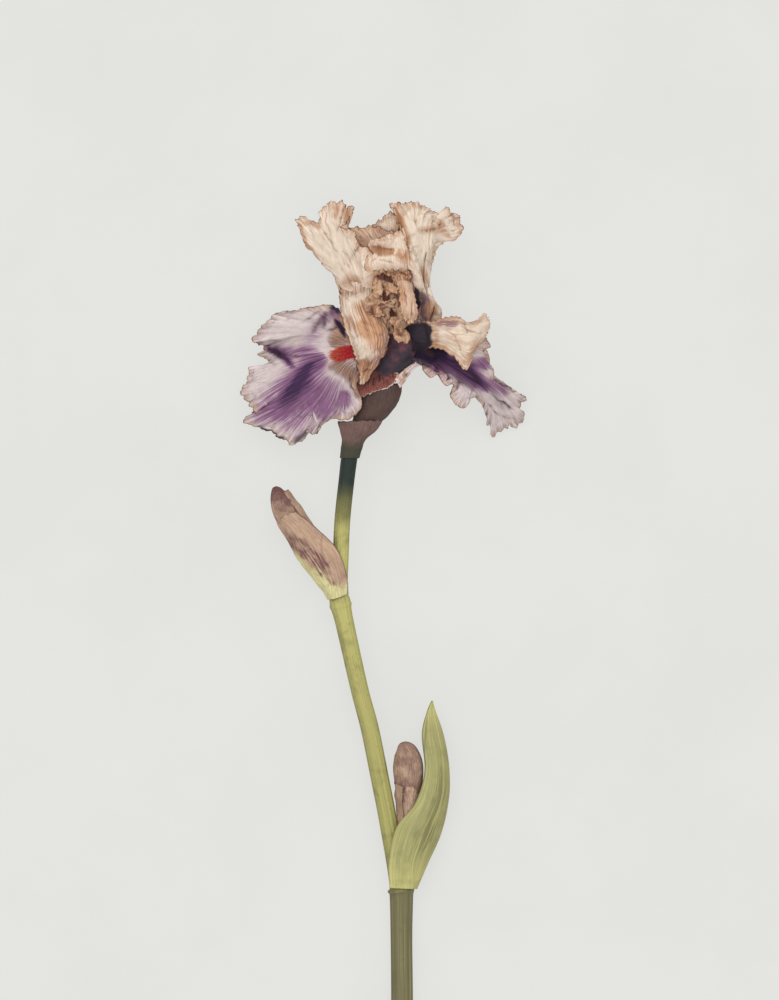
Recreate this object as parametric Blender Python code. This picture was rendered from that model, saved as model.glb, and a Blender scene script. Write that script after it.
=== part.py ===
"""A cut bearded iris lying on a flat surface: stem, bracts, buds, spathe and one open flower.

Sizes are written in millimetres in the drawing frame, where the stem's cut end is at X 0, Y 0, the stem
runs along +Y towards the flower, +Z is up, and the surface that the flower lies on is Z 0.
"""

import math

import bpy
import numpy as np

MM = 0.001

# The middle of the flower's outline in the drawing frame, which becomes X 0, Y 0 of the model.
MIDDLE_X = -9.0
MIDDLE_Y = 215.0

# Driving sizes.
PETAL_THICKNESS = 0.8
BRACT_THICKNESS = 0.9
CLEARANCE = 0.3
SEAT_GAP = 0.6
THROAT_CENTRE = np.array((-4.5, 354.0, 40.0))
THROAT_RADIUS = 6.0
STAMEN_RADIUS = 0.8
ANTHER_RADIUS = 1.3
BEARD_HEIGHT = 2.2

# The stem's axis from the cut end to the ovary, as X and Y, with the stem's radius there.
CUT_END_HEIGHT = 5.5
STEM_RISE_PER_MM = 0.08
STEM_AXIS = (
    (0.0, 0.0, 5.5),
    (0.0, 30.0, 5.4),
    (-0.3, 60.0, 5.4),
    (-0.3, 80.0, 5.9),
    (-0.5, 85.0, 6.1),
    (-2.2, 95.0, 4.9),
    (-5.6, 111.5, 4.5),
    (-8.2, 126.0, 4.5),
    (-10.6, 138.0, 4.5),
    (-16.0, 165.0, 4.5),
    (-21.2, 185.0, 4.4),
    (-28.6, 218.0, 4.6),
    (-31.0, 229.0, 5.2),
    (-31.4, 235.0, 4.2),
    (-30.7, 250.0, 3.9),
    (-29.8, 270.0, 3.9),
    (-27.7, 290.0, 3.9),
    (-26.0, 303.0, 3.9),
    (-23.5, 313.0, 3.4),
)

# Colours as linear RGB, with a roughness.
COLOURS = {
    "stem_green": ((0.24, 0.23, 0.08), 0.55),
    "bract_green": ((0.34, 0.33, 0.12), 0.5),
    "bract_paper": ((0.36, 0.24, 0.15), 0.75),
    "bud_paper": ((0.34, 0.22, 0.15), 0.75),
    "throat_purple": ((0.05, 0.03, 0.06), 0.6),
    "fall_purple": ((0.3, 0.16, 0.3), 0.65),
    "beard_red": ((0.5, 0.05, 0.04), 0.8),
    "standard_peach": ((0.68, 0.55, 0.42), 0.65),
    "style_gold": ((0.6, 0.4, 0.22), 0.65),
    "stamen_cream": ((0.6, 0.52, 0.36), 0.7),
}


def stem_height(y):
    """Height of the stem's axis above the surface, at a distance along the stem."""
    return CUT_END_HEIGHT + STEM_RISE_PER_MM * y


def material(name):
    """The shared Principled material of that name."""
    found = bpy.data.materials.get(name)
    if found:
        return found
    colour, roughness = COLOURS[name]
    made = bpy.data.materials.new(name)
    made.use_nodes = True
    shader = made.node_tree.nodes["Principled BSDF"]
    shader.inputs["Base Color"].default_value = (*colour, 1.0)
    shader.inputs["Roughness"].default_value = roughness
    shader.inputs["Metallic"].default_value = 0.0
    return made


def smooth(points, count):
    """Samples at even steps on a smooth curve that passes through the points, along the first axis."""
    points = np.asarray(points, float)
    before = 2 * points[0] - points[1]
    after = 2 * points[-1] - points[-2]
    padded = np.concatenate([before[None], points, after[None]])
    place = np.linspace(0, len(points) - 1, count)
    start = np.minimum(place.astype(int), len(points) - 2)
    t = (place - start).reshape(-1, *([1] * (points.ndim - 1)))
    a, b, c, d = (padded[start + k] for k in range(4))
    return 0.5 * (
        2 * b
        + (c - a) * t
        + (2 * a - 5 * b + 4 * c - d) * t**2
        + (3 * b - a - 3 * c + d) * t**3
    )


def smooth_sheet(cage, rows, columns):
    """Points of a smooth sheet through a cage of rows from base to tip, each going from edge to edge."""
    lengthwise = smooth(cage, rows)
    return smooth(lengthwise.transpose(1, 0, 2), columns).transpose(1, 0, 2)


def sheet_normals(points):
    """Unit normals of a sheet of points, on its upper side where it lies flat."""
    along = np.gradient(points, axis=0)
    across = np.gradient(points, axis=1)
    normal = np.cross(across, along)
    return normal / np.linalg.norm(normal, axis=2, keepdims=True)


def add_object(name, points, faces, material_name):
    """An object whose origin is at its first point, from points in the drawing frame in millimetres."""
    points = np.asarray(points)
    place = (points[0] - (MIDDLE_X, MIDDLE_Y, 0.0)) * MM
    mesh = bpy.data.meshes.new(name)
    mesh.from_pydata(((points - points[0]) * MM).tolist(), [], faces)
    mesh.validate()
    mesh.shade_smooth()
    mesh.set_sharp_from_angle(angle=math.radians(60))
    mesh.materials.append(material(material_name))
    made = bpy.data.objects.new(name, mesh)
    made.location = place
    bpy.context.scene.collection.objects.link(made)
    return made


def grid_faces(rows, columns, start=0, wrap=False):
    """Quads of a grid of points that is stored row by row."""
    steps = columns if wrap else columns - 1
    return [
        (
            start + r * columns + c,
            start + r * columns + (c + 1) % columns,
            start + (r + 1) * columns + (c + 1) % columns,
            start + (r + 1) * columns + c,
        )
        for r in range(rows - 1)
        for c in range(steps)
    ]


def add_sheet(name, cage, material_name, thickness, rows=11, columns=11):
    """A petal or bract: the smooth sheet through its cage, given its thickness by a Solidify modifier."""
    points = smooth_sheet(cage, rows, columns)
    made = add_object(name, points.reshape(-1, 3), grid_faces(rows, columns), material_name)
    solidify = made.modifiers.new("thickness", "SOLIDIFY")
    solidify.thickness = thickness * MM
    solidify.offset = 0.0
    return made


def ring(centre, direction, radius_side, radius_depth, sides):
    """Points of an ellipse across a direction. Its depth is measured along Z, as far as that allows."""
    direction = np.asarray(direction, float)
    direction = direction / np.linalg.norm(direction)
    side = np.cross(direction, (0.0, 0.0, 1.0))
    side = side / np.linalg.norm(side)
    depth = np.cross(direction, side)
    angles = np.arange(sides) * 2 * math.pi / sides
    return (
        np.asarray(centre)
        + radius_side * np.cos(angles)[:, None] * side
        + radius_depth * np.sin(angles)[:, None] * depth
    )


def add_tube(name, stations, material_name, rings, sides):
    """A round solid along stations of (x, y, z, radius), closed at both ends."""
    line = smooth(stations, rings)
    directions = np.gradient(line[:, :3], axis=0)
    points = np.concatenate(
        [ring(p[:3], d, p[3], p[3], sides) for p, d in zip(line, directions)]
    )
    faces = grid_faces(rings, sides, wrap=True)
    faces.append(tuple(range(sides))[::-1])
    faces.append(tuple((rings - 1) * sides + k for k in range(sides)))
    return add_object(name, points, faces, material_name)


def add_funnel(name, stations, mouth_slant, material_name, rings=8, sides=20):
    """A bract rolled into a funnel along stations of (x, y, z, half width, half depth), open at both ends.

    mouth_slant moves the mouth's right side along Y by that much, and its left side back as far.
    """
    line = smooth(stations, rings)
    share = np.linspace(0, 1, rings) ** 2
    walls = []
    for inset in (0.0, BRACT_THICKNESS):
        wall = []
        for p, s in zip(line, share):
            loop = ring(p[:3], (0.0, 1.0, 0.0), p[3] - inset, p[4] - inset, sides)
            loop[:, 1] += s * mouth_slant * (loop[:, 0] - p[0]) / p[3]
            wall.append(loop)
        walls.append(np.concatenate(wall))
    inner = rings * sides
    last = (rings - 1) * sides
    faces = grid_faces(rings, sides, wrap=True)
    faces += [face[::-1] for face in grid_faces(rings, sides, start=inner, wrap=True)]
    for k in range(sides):
        n = (k + 1) % sides
        faces.append((n, k, inner + k, inner + n))
        faces.append((last + k, last + n, inner + last + n, inner + last + k))
    return add_object(name, np.concatenate(walls), faces, material_name)


def seat(direction, across, half_width, columns):
    """The base of a petal: a short row of points held just clear of the throat."""
    direction = np.asarray(direction, float)
    direction = direction / np.linalg.norm(direction)
    across = np.asarray(across, float)
    across = across - direction * (across @ direction)
    across = across / np.linalg.norm(across)
    foot = THROAT_CENTRE + direction * (THROAT_RADIUS + SEAT_GAP)
    return [foot + across * w for w in np.linspace(-half_width, half_width, columns)]


def add_stem():
    """The stem with its two swollen nodes, up to the ovary."""
    stations = [(x, y, stem_height(y), radius) for x, y, radius in STEM_AXIS]
    add_tube("stem", stations, "stem_green", rings=37, sides=14)


def add_lower_branch():
    """The green boat-shaped bract at the lower node, with the withered bud and its papery sheath."""
    bract = (
        ((-3.0, 89.0, 5.6), (5.0, 86.5, 6.6), (7.6, 86.5, 12.6), (4.0, 86.5, 18.8), (-5.6, 87.5, 18.6)),
        ((-5.0, 100.0, 5.4), (5.0, 100.0, 4.8), (13.0, 100.0, 13.0), (4.0, 100.0, 21.6), (-6.4, 100.0, 19.6)),
        ((-2.0, 116.0, 5.0), (9.0, 115.0, 4.2), (19.3, 114.0, 13.5), (9.0, 115.0, 22.8), (-3.0, 116.5, 21.6)),
        ((7.0, 130.0, 5.6), (16.0, 130.0, 5.8), (23.0, 130.0, 14.0), (16.0, 130.0, 22.2), (6.6, 130.5, 22.8)),
        ((12.0, 146.0, 6.6), (18.0, 147.0, 8.0), (23.4, 147.0, 14.0), (18.4, 147.0, 20.0), (11.4, 146.0, 21.6)),
        ((11.0, 163.0, 10.0), (16.0, 164.0, 10.6), (20.8, 163.0, 13.6), (16.0, 164.0, 16.8), (10.2, 164.0, 17.6)),
        ((14.4, 179.0, 12.4), (15.0, 179.4, 12.6), (15.6, 179.4, 13.0), (15.0, 179.4, 13.6), (14.4, 179.0, 13.8)),
    )
    add_sheet("lower_bract", bract, "bract_green", BRACT_THICKNESS, rows=15, columns=13)
    bud = (
        (4.8, 101.5, 13.2, 2.4),
        (4.6, 112.0, 13.4, 3.8),
        (3.6, 124.0, 13.6, 5.0),
        (3.9, 136.0, 13.8, 5.9),
        (4.2, 147.5, 14.0, 6.4),
        (3.4, 155.0, 14.0, 5.0),
        (2.0, 159.6, 14.0, 1.8),
    )
    add_tube("lower_bud", bud, "bud_paper", rings=13, sides=14)
    sheath = (
        ((2.8, 112.0, 8.4), (-0.2, 112.0, 13.4), (2.8, 112.0, 18.4)),
        ((0.8, 121.0, 7.6), (-2.2, 121.0, 13.6), (0.8, 121.0, 19.6)),
        ((0.6, 134.0, 6.8), (-3.2, 134.0, 13.8), (0.6, 134.0, 20.6)),
        ((1.6, 143.0, 5.8), (-3.6, 141.0, 13.8), (1.6, 139.0, 21.8)),
    )
    add_sheet("lower_bud_sheath", sheath, "bud_paper", BRACT_THICKNESS, rows=7, columns=7)


def add_upper_branch():
    """The striped bract that clasps the upper node, with the bud that leans out of it."""
    bract = (
        ((-26.4, 233.6, 18.4), (-33.0, 231.5, 17.4), (-37.4, 231.0, 24.0), (-33.0, 231.5, 30.6), (-26.4, 234.0, 29.6)),
        ((-28.0, 244.0, 18.4), (-35.0, 240.0, 16.0), (-41.4, 237.8, 23.8), (-35.6, 240.0, 31.6), (-27.6, 243.0, 30.2)),
        ((-35.0, 256.0, 17.4), (-42.0, 252.0, 13.8), (-50.8, 248.8, 23.0), (-43.0, 252.0, 32.0), (-33.0, 256.0, 30.8)),
        ((-44.0, 268.0, 15.4), (-50.0, 264.0, 13.2), (-57.6, 261.2, 22.2), (-51.0, 264.0, 30.6), (-45.0, 267.0, 30.6)),
        ((-57.0, 272.4, 14.8), (-60.8, 271.0, 17.0), (-62.8, 270.0, 21.8), (-60.8, 271.0, 26.4), (-57.0, 272.0, 28.4)),
    )
    add_sheet("upper_bract", bract, "bract_paper", BRACT_THICKNESS, rows=13, columns=13)
    bud = (
        (-38.6, 241.0, 24.0, 2.2),
        (-41.8, 248.0, 23.4, 4.6),
        (-46.6, 257.0, 22.4, 5.7),
        (-51.6, 266.0, 22.0, 5.7),
        (-56.6, 275.0, 21.6, 5.2),
        (-60.6, 283.0, 21.4, 3.6),
        (-62.4, 287.4, 21.4, 1.4),
    )
    add_tube("upper_bud", bud, "bud_paper", rings=13, sides=14)
    sheath = (
        ((-42.4, 259.6, 17.2), (-40.4, 260.6, 22.6), (-42.4, 259.6, 27.8)),
        ((-47.4, 268.4, 16.4), (-45.4, 269.4, 22.2), (-47.4, 268.4, 27.8)),
        ((-53.0, 276.8, 16.0), (-51.0, 278.0, 21.8), (-53.0, 276.8, 27.2)),
        ((-58.6, 284.8, 17.6), (-56.8, 286.0, 21.6), (-58.6, 284.8, 25.4)),
    )
    add_sheet("upper_bud_sheath", sheath, "bud_paper", BRACT_THICKNESS, rows=7, columns=7)


def add_spathe():
    """The two papery valves that hold the ovary, one rising out of the other."""
    outer = (
        (-26.2, 301.0, 29.7, 5.3, 5.3),
        (-24.9, 308.0, 30.3, 6.1, 6.6),
        (-22.0, 315.0, 31.0, 8.8, 8.8),
        (-20.6, 320.0, 31.5, 11.4, 10.4),
    )
    add_funnel("spathe_outer", outer, 0.5, "bract_paper")
    inner = (
        (-22.2, 314.4, 31.4, 5.1, 5.3),
        (-18.3, 319.6, 32.2, 6.4, 6.9),
        (-12.8, 325.5, 33.2, 9.8, 8.8),
        (-11.2, 330.5, 34.0, 10.2, 9.2),
        (-10.4, 335.8, 34.8, 10.1, 9.0),
    )
    add_funnel("spathe_inner", inner, 3.8, "bract_paper")


def add_floral_tube():
    """The ovary, the tube above it and the throat that carries every part of the flower, grown as one."""
    centre = THROAT_CENTRE
    stations = (
        (-22.9, 314.4, 31.1, 2.9),
        (-19.2, 320.0, 32.2, 3.6),
        (-15.0, 327.0, 33.8, 3.8),
        (-10.6, 335.5, 35.6, 3.6),
        (-7.6, 343.0, 37.4, 3.8),
        (centre[0] - 1.4, centre[1] - 4.4, centre[2] - 0.6, 5.0),
        (*centre, THROAT_RADIUS),
        (centre[0] + 1.6, centre[1] + 4.6, centre[2] + 0.7, 3.4),
        (centre[0] + 2.0, centre[1] + 5.9, centre[2] + 0.9, 0.8),
    )
    add_tube("ovary_and_tube", stations, "throat_purple", rings=25, sides=16)


def fall_cages():
    """The cages of the three falls. Each row runs so that the sheet's normal is on its upper face."""
    left = (
        seat((-0.95, -0.05, 0.3), (0, 1, 0), 2.6, 5)[::-1],
        ((-26.5, 365.0, 52.0), (-27.0, 359.0, 50.5), (-28.0, 353.5, 49.5), (-26.5, 348.5, 50.5), (-24.0, 343.5, 52.0)),
        ((-32.5, 376.5, 44.0), (-38.5, 362.5, 49.0), (-40.0, 348.0, 50.0), (-32.5, 336.0, 50.0), (-21.0, 329.5, 46.5)),
        ((-48.5, 377.5, 36.0), (-52.5, 359.0, 41.0), (-52.0, 339.0, 43.0), (-42.5, 327.0, 43.0), (-27.5, 319.0, 43.0)),
        ((-64.0, 373.5, 25.0), (-65.0, 356.0, 26.5), (-63.5, 332.0, 32.0), (-54.5, 318.5, 31.0), (-41.0, 315.0, 34.0)),
        ((-75.0, 361.0, 13.0), (-73.0, 347.0, 12.0), (-79.5, 330.0, 14.0), (-74.0, 316.0, 13.0), (-53.5, 308.0, 24.0)),
    )
    right = (
        seat((0.95, -0.05, 0.3), (0, -1, 0), 2.6, 5),
        ((14.0, 362.5, 49.0), (14.0, 358.5, 48.0), (13.5, 355.0, 47.0), (12.0, 351.5, 48.0), (9.5, 348.0, 49.5)),
        ((29.0, 364.0, 49.0), (28.0, 357.0, 50.5), (26.0, 350.0, 51.0), (22.5, 345.0, 53.0), (18.0, 341.0, 55.0)),
        ((42.5, 360.0, 42.0), (40.0, 351.0, 47.0), (36.5, 343.0, 47.5), (32.0, 336.0, 51.0), (27.0, 328.5, 52.0)),
        ((48.0, 345.0, 36.0), (46.0, 339.0, 39.0), (43.0, 333.5, 40.0), (40.0, 330.0, 42.0), (37.0, 326.5, 44.0)),
        ((62.0, 331.0, 1.4), (59.0, 327.0, 3.4), (55.0, 322.0, 4.4), (51.0, 317.5, 3.4), (46.5, 313.0, 1.4)),
    )
    back = (
        seat((-0.5, -0.1, -0.86), (0, 1, 0), 2.6, 3)[::-1],
        ((-22.0, 358.0, 21.5), (-22.0, 352.0, 20.0), (-22.0, 346.0, 21.5)),
        ((-38.0, 366.0, 9.0), (-38.0, 350.0, 7.0), (-36.0, 333.0, 9.0)),
        ((-52.0, 366.0, 2.6), (-53.0, 348.0, 1.6), (-50.0, 328.0, 2.6)),
        ((-63.0, 358.0, 1.4), (-66.0, 345.0, 1.0), (-61.0, 331.0, 1.4)),
    )
    return {
        "left": [row[::-1] for row in left],
        "right": right,
        "back": [row[::-1] for row in back],
    }


def add_falls():
    """The three falls, and the beard that stands along the middle of each one's haft."""
    for side, cage in fall_cages().items():
        add_sheet(f"fall_{side}", cage, "fall_purple", PETAL_THICKNESS, rows=13, columns=13)
        add_beard(f"beard_{side}", cage)


def add_beard(name, cage):
    """A ridge along the haft's middle, rounded across, that stands clear of the fall's upper face."""
    fine = 61
    first, last, rings = 8, 24, 9
    half_width, sides = 5, 8
    points = smooth_sheet(cage, fine, fine)
    normals = sheet_normals(points)
    middle = fine // 2
    floor = PETAL_THICKNESS / 2 + CLEARANCE
    loops = []
    for row in np.linspace(first, last, rings).astype(int):
        swell = math.sin(math.pi * (row - first + 2) / (last - first + 4))
        width = half_width * (0.5 + 0.5 * swell)
        for k in range(sides):
            angle = 2 * math.pi * k / sides
            column = middle + width * math.cos(angle)
            low = int(column)
            part = column - low
            foot = points[row, low] * (1 - part) + points[row, low + 1] * part
            lift = floor + 0.15 + BEARD_HEIGHT * swell * (0.5 + 0.5 * math.sin(angle))
            loops.append(foot + normals[row, low] * lift)
    faces = [face[::-1] for face in grid_faces(rings, sides, wrap=True)]
    faces.append(tuple(range(sides)))
    faces.append(tuple((rings - 1) * sides + k for k in range(sides))[::-1])
    add_object(name, loops, faces, "beard_red")


def add_standards():
    """The three upright petals. Each row of a cage runs from the petal's left edge to its right."""
    left = (
        seat((-0.55, 0.8, 0.15), (0.8, 0.55, 0), 2.4, 5),
        ((-25.0, 370.5, 45.0), (-21.5, 372.0, 47.5), (-18.5, 373.0, 48.5), (-15.5, 373.5, 48.0), (-12.5, 374.0, 46.5)),
        ((-31.0, 385.5, 44.0), (-27.0, 386.0, 48.0), (-23.0, 386.0, 49.5), (-18.5, 386.5, 49.0), (-14.5, 386.5, 47.0)),
        ((-39.5, 397.5, 40.0), (-32.5, 401.0, 45.0), (-26.0, 402.0, 48.0), (-19.5, 401.0, 49.0), (-12.0, 398.5, 49.5)),
        ((-50.5, 410.0, 34.0), (-42.0, 415.0, 41.0), (-32.0, 417.0, 44.0), (-23.5, 414.0, 46.0), (-16.0, 405.5, 51.0)),
        ((-53.0, 421.0, 30.0), (-43.0, 425.0, 37.0), (-32.0, 430.0, 40.0), (-24.5, 427.0, 39.0), (-18.5, 411.0, 50.0)),
    )
    right = (
        seat((0.5, 0.85, 0.15), (0.85, -0.5, 0), 2.4, 5),
        ((4.0, 373.0, 44.5), (7.5, 373.5, 46.0), (11.0, 373.5, 46.5), (15.0, 373.5, 45.5), (19.0, 373.0, 43.0)),
        ((2.0, 388.5, 48.5), (4.8, 388.8, 50.0), (7.5, 389.0, 50.0), (10.5, 389.5, 48.5), (13.5, 389.5, 45.5)),
        ((0.5, 401.0, 52.0), (4.0, 402.5, 52.0), (8.0, 403.0, 51.0), (12.0, 403.0, 48.0), (16.5, 403.0, 43.5)),
        ((-0.5, 414.0, 51.0), (5.0, 416.0, 50.0), (11.5, 416.0, 46.0), (18.0, 414.0, 42.0), (22.5, 410.0, 38.0)),
        ((-6.0, 428.0, 47.0), (3.0, 430.0, 46.0), (13.0, 427.5, 42.0), (22.5, 426.0, 36.0), (30.5, 416.0, 31.0)),
    )
    back = (
        seat((0.0, 0.7, -0.7), (1, 0, 0), 2.6, 5),
        ((-17.0, 377.0, 27.0), (-11.0, 377.5, 23.0), (-5.0, 378.0, 21.0), (1.0, 377.5, 23.0), (7.0, 377.0, 27.0)),
        ((-27.0, 396.0, 24.0), (-17.0, 396.0, 16.0), (-7.0, 396.0, 12.0), (2.0, 396.0, 15.0), (12.0, 396.0, 22.0)),
        ((-27.0, 409.0, 30.0), (-17.0, 413.0, 21.0), (-8.0, 413.0, 16.0), (0.0, 413.0, 18.0), (8.0, 411.0, 26.0)),
        ((-25.0, 415.0, 36.0), (-17.0, 417.0, 32.0), (-9.0, 422.0, 28.0), (-3.0, 423.0, 28.0), (2.0, 419.0, 32.0)),
    )
    for side, cage in {"left": left, "right": right, "back": back}.items():
        add_sheet(f"standard_{side}", cage, "standard_peach", PETAL_THICKNESS, rows=12, columns=12)


def add_style_arms():
    """The three petal-like style arms. Each one arches up from the throat and hangs its crest over."""
    left = (
        seat((-0.7, 0.4, 0.6), (0.5, 0.87, 0), 1.7, 3),
        ((-23.5, 369.5, 53.0), (-18.0, 373.0, 55.0), (-13.0, 375.0, 53.5)),
        ((-30.5, 380.0, 57.0), (-22.5, 383.5, 59.5), (-15.0, 381.0, 57.5)),
        ((-31.0, 373.0, 63.0), (-22.0, 375.0, 66.0), (-13.5, 373.0, 63.0)),
        ((-28.0, 360.5, 64.5), (-19.0, 362.0, 69.0), (-8.0, 361.0, 63.0)),
        ((-24.5, 348.0, 63.0), (-17.0, 347.0, 67.0), (-9.0, 352.0, 62.0)),
        ((-22.5, 339.5, 60.0), (-19.5, 338.5, 61.5), (-16.0, 341.0, 60.0)),
    )
    right = (
        seat((0.7, 0.4, 0.6), (0.5, -0.87, 0), 1.7, 3),
        ((5.5, 375.0, 53.5), (8.5, 371.5, 55.5), (11.0, 367.0, 55.5)),
        ((16.5, 372.0, 58.0), (15.5, 366.0, 60.5), (14.5, 359.0, 58.5)),
        ((25.0, 373.0, 58.0), (24.0, 363.0, 63.0), (22.0, 353.5, 60.0)),
        ((33.5, 369.5, 56.0), (33.5, 360.0, 62.0), (32.0, 345.5, 58.0)),
        ((42.0, 374.0, 50.0), (43.5, 367.0, 54.5), (38.5, 358.0, 54.0)),
    )
    back = (
        seat((0.0, 0.75, 0.66), (1, 0, 0), 1.7, 3),
        ((-9.0, 371.0, 49.0), (-4.0, 371.5, 51.0), (1.0, 371.0, 49.0)),
        ((-11.5, 386.0, 53.0), (-4.0, 387.0, 56.0), (1.5, 386.0, 54.5)),
        ((-11.5, 395.0, 55.0), (-2.5, 398.0, 58.5), (6.0, 394.0, 56.0)),
        ((-10.5, 388.0, 60.5), (-1.5, 389.0, 63.5), (7.5, 388.0, 60.5)),
        ((-7.0, 376.0, 61.0), (0.5, 375.0, 65.0), (8.0, 374.0, 61.5)),
        ((-3.0, 366.5, 60.5), (1.5, 364.0, 62.5), (5.5, 365.5, 60.5)),
    )
    for side, cage in {"left": left, "right": right, "back": back}.items():
        add_sheet(f"style_arm_{side}", cage, "style_gold", PETAL_THICKNESS, rows=15, columns=9)


def add_stamens():
    """The three stamens: each a thin filament from the throat that thickens into its anther."""
    paths = {
        "left": ((-0.65, -0.45, 0.6), ((-14.5, 351.5, 49.5), (-20.0, 353.0, 54.0), (-26.5, 355.0, 57.0))),
        "right": ((0.65, -0.45, 0.6), ((5.0, 351.0, 50.0), (11.0, 352.5, 54.5), (17.5, 355.0, 56.0))),
        "back": ((-0.85, -0.1, -0.5), ((-15.0, 353.0, 33.5), (-20.5, 352.6, 30.0), (-27.5, 352.0, 25.5))),
    }
    for side, (direction, (bend, anther_foot, anther_tip)) in paths.items():
        foot = seat(direction, (0, 1, 0), 0.0, 1)[0] + 0.3 * np.array(direction)
        middle = (np.array(anther_foot) + anther_tip) / 2
        stations = (
            (*foot, STAMEN_RADIUS),
            (*bend, STAMEN_RADIUS),
            (*anther_foot, ANTHER_RADIUS * 0.8),
            (*middle, ANTHER_RADIUS),
            (*anther_tip, ANTHER_RADIUS * 0.4),
        )
        add_tube(f"stamen_{side}", stations, "stamen_cream", rings=13, sides=8)


def build():
    """Clears the scene and makes every piece of the flower."""
    for old in list(bpy.data.objects):
        bpy.data.objects.remove(old, do_unlink=True)
    add_stem()
    add_lower_branch()
    add_upper_branch()
    add_spathe()
    add_floral_tube()
    add_falls()
    add_standards()
    add_style_arms()
    add_stamens()


build()
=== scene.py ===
"""A cut bearded iris, lying on a pale surface: the stem with its bracts and withered buds, the papery
spathe, and the open flower with its falls, beards, standards, style arms and stamens.

Each piece is drawn in millimetres, with the stem's cut end at X 0, Y 0 and the surface at Z 0, and is
then placed in the frame.
"""

import math

import bpy
import numpy as np
from bpy.props import FloatProperty, FloatVectorProperty, PointerProperty
from bpy.types import Operator, Panel, PropertyGroup
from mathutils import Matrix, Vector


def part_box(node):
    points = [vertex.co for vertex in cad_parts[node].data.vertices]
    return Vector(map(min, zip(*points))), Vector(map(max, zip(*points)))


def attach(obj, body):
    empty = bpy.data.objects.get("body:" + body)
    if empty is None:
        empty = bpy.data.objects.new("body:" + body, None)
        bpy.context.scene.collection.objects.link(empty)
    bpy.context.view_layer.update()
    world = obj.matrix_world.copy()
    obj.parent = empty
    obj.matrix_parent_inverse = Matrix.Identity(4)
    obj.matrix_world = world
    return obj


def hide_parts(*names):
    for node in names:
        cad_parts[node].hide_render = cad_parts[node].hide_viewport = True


bl_info = {
    "name": "Bearded Iris",
    "version": (1, 0, 0),
    "blender": (4, 5, 0),
    "location": "View3D > Sidebar > Iris",
    "description": "Builds a cut bearded iris petal by petal, with its stem, bracts and buds",
    "category": "Add Mesh",
}

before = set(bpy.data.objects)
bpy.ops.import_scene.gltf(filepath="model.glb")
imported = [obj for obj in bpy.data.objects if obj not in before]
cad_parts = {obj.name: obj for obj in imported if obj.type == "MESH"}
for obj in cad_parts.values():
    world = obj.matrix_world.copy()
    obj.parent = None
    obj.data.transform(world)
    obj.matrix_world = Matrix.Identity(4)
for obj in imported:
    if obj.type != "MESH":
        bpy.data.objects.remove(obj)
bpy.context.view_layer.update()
MM = 0.001

# Places along the stem, in millimetres from its cut end, and how its middle rises from there.
LOWER_NODE = 84.5
UPPER_NODE = 231.0
STEM_LENGTH = 320.0
STEM_FOOT_HEIGHT = 5.5
STEM_RISE = 0.08


def cut_end():
    """The middle of the stem's cut end in the frame, where the drawing has X 0, Y 0."""
    stem = bpy.data.objects["stem"]
    places = np.array([vertex.co[:] for vertex in stem.data.vertices])
    end = places[places[:, 1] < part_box("stem")[0][1] + 2 * MM]
    return np.array((end[:, 0].mean(), end[:, 1].mean(), 0.0))


CUT_END = cut_end()


# Colours and sizes that a user would change.


def linear(red, green, blue):
    """A colour given in steps of 0 to 255, as linear light."""
    shares = [value / 255 for value in (red, green, blue)]
    return tuple(s / 12.92 if s <= 0.04045 else ((s + 0.055) / 1.055) ** 2.4 for s in shares)


def colour(name, description, *steps):
    """A colour property."""
    return FloatVectorProperty(
        name=name,
        description=description,
        subtype="COLOR",
        size=3,
        min=0.0,
        max=1.0,
        default=linear(*steps),
    )


def length(name, description, default):
    """A length property, whose default is in millimetres."""
    return FloatProperty(
        name=name,
        description=description,
        subtype="DISTANCE",
        unit="LENGTH",
        min=0.0,
        default=default * MM,
    )


def amount(name, description, default):
    """A property without a unit."""
    return FloatProperty(name=name, description=description, min=0.0, default=default)


class IrisSizes(PropertyGroup):
    """Thicknesses and heights of the flower's details."""

    petal_thickness: length("Petal thickness", "Thickness of the petals and style arms", 0.45)
    bract_thickness: length("Bract thickness", "Thickness of the bracts and the spathe", 0.6)
    ruffle: amount("Ruffles", "How high the ruffles of the petals stand, 1 as drawn", 1.0)
    frill: amount("Frill", "How deep the ragged edges of the petals are cut, 1 as drawn", 1.0)
    hair_length: length("Beard hair", "Length of the hairs of the beards", 3.4)
    hair_radius: length("Hair radius", "Radius of a beard hair at its foot", 0.22)
    rib_height: length("Stem ribs", "Height of the fine ribs along the stem", 0.1)


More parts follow.
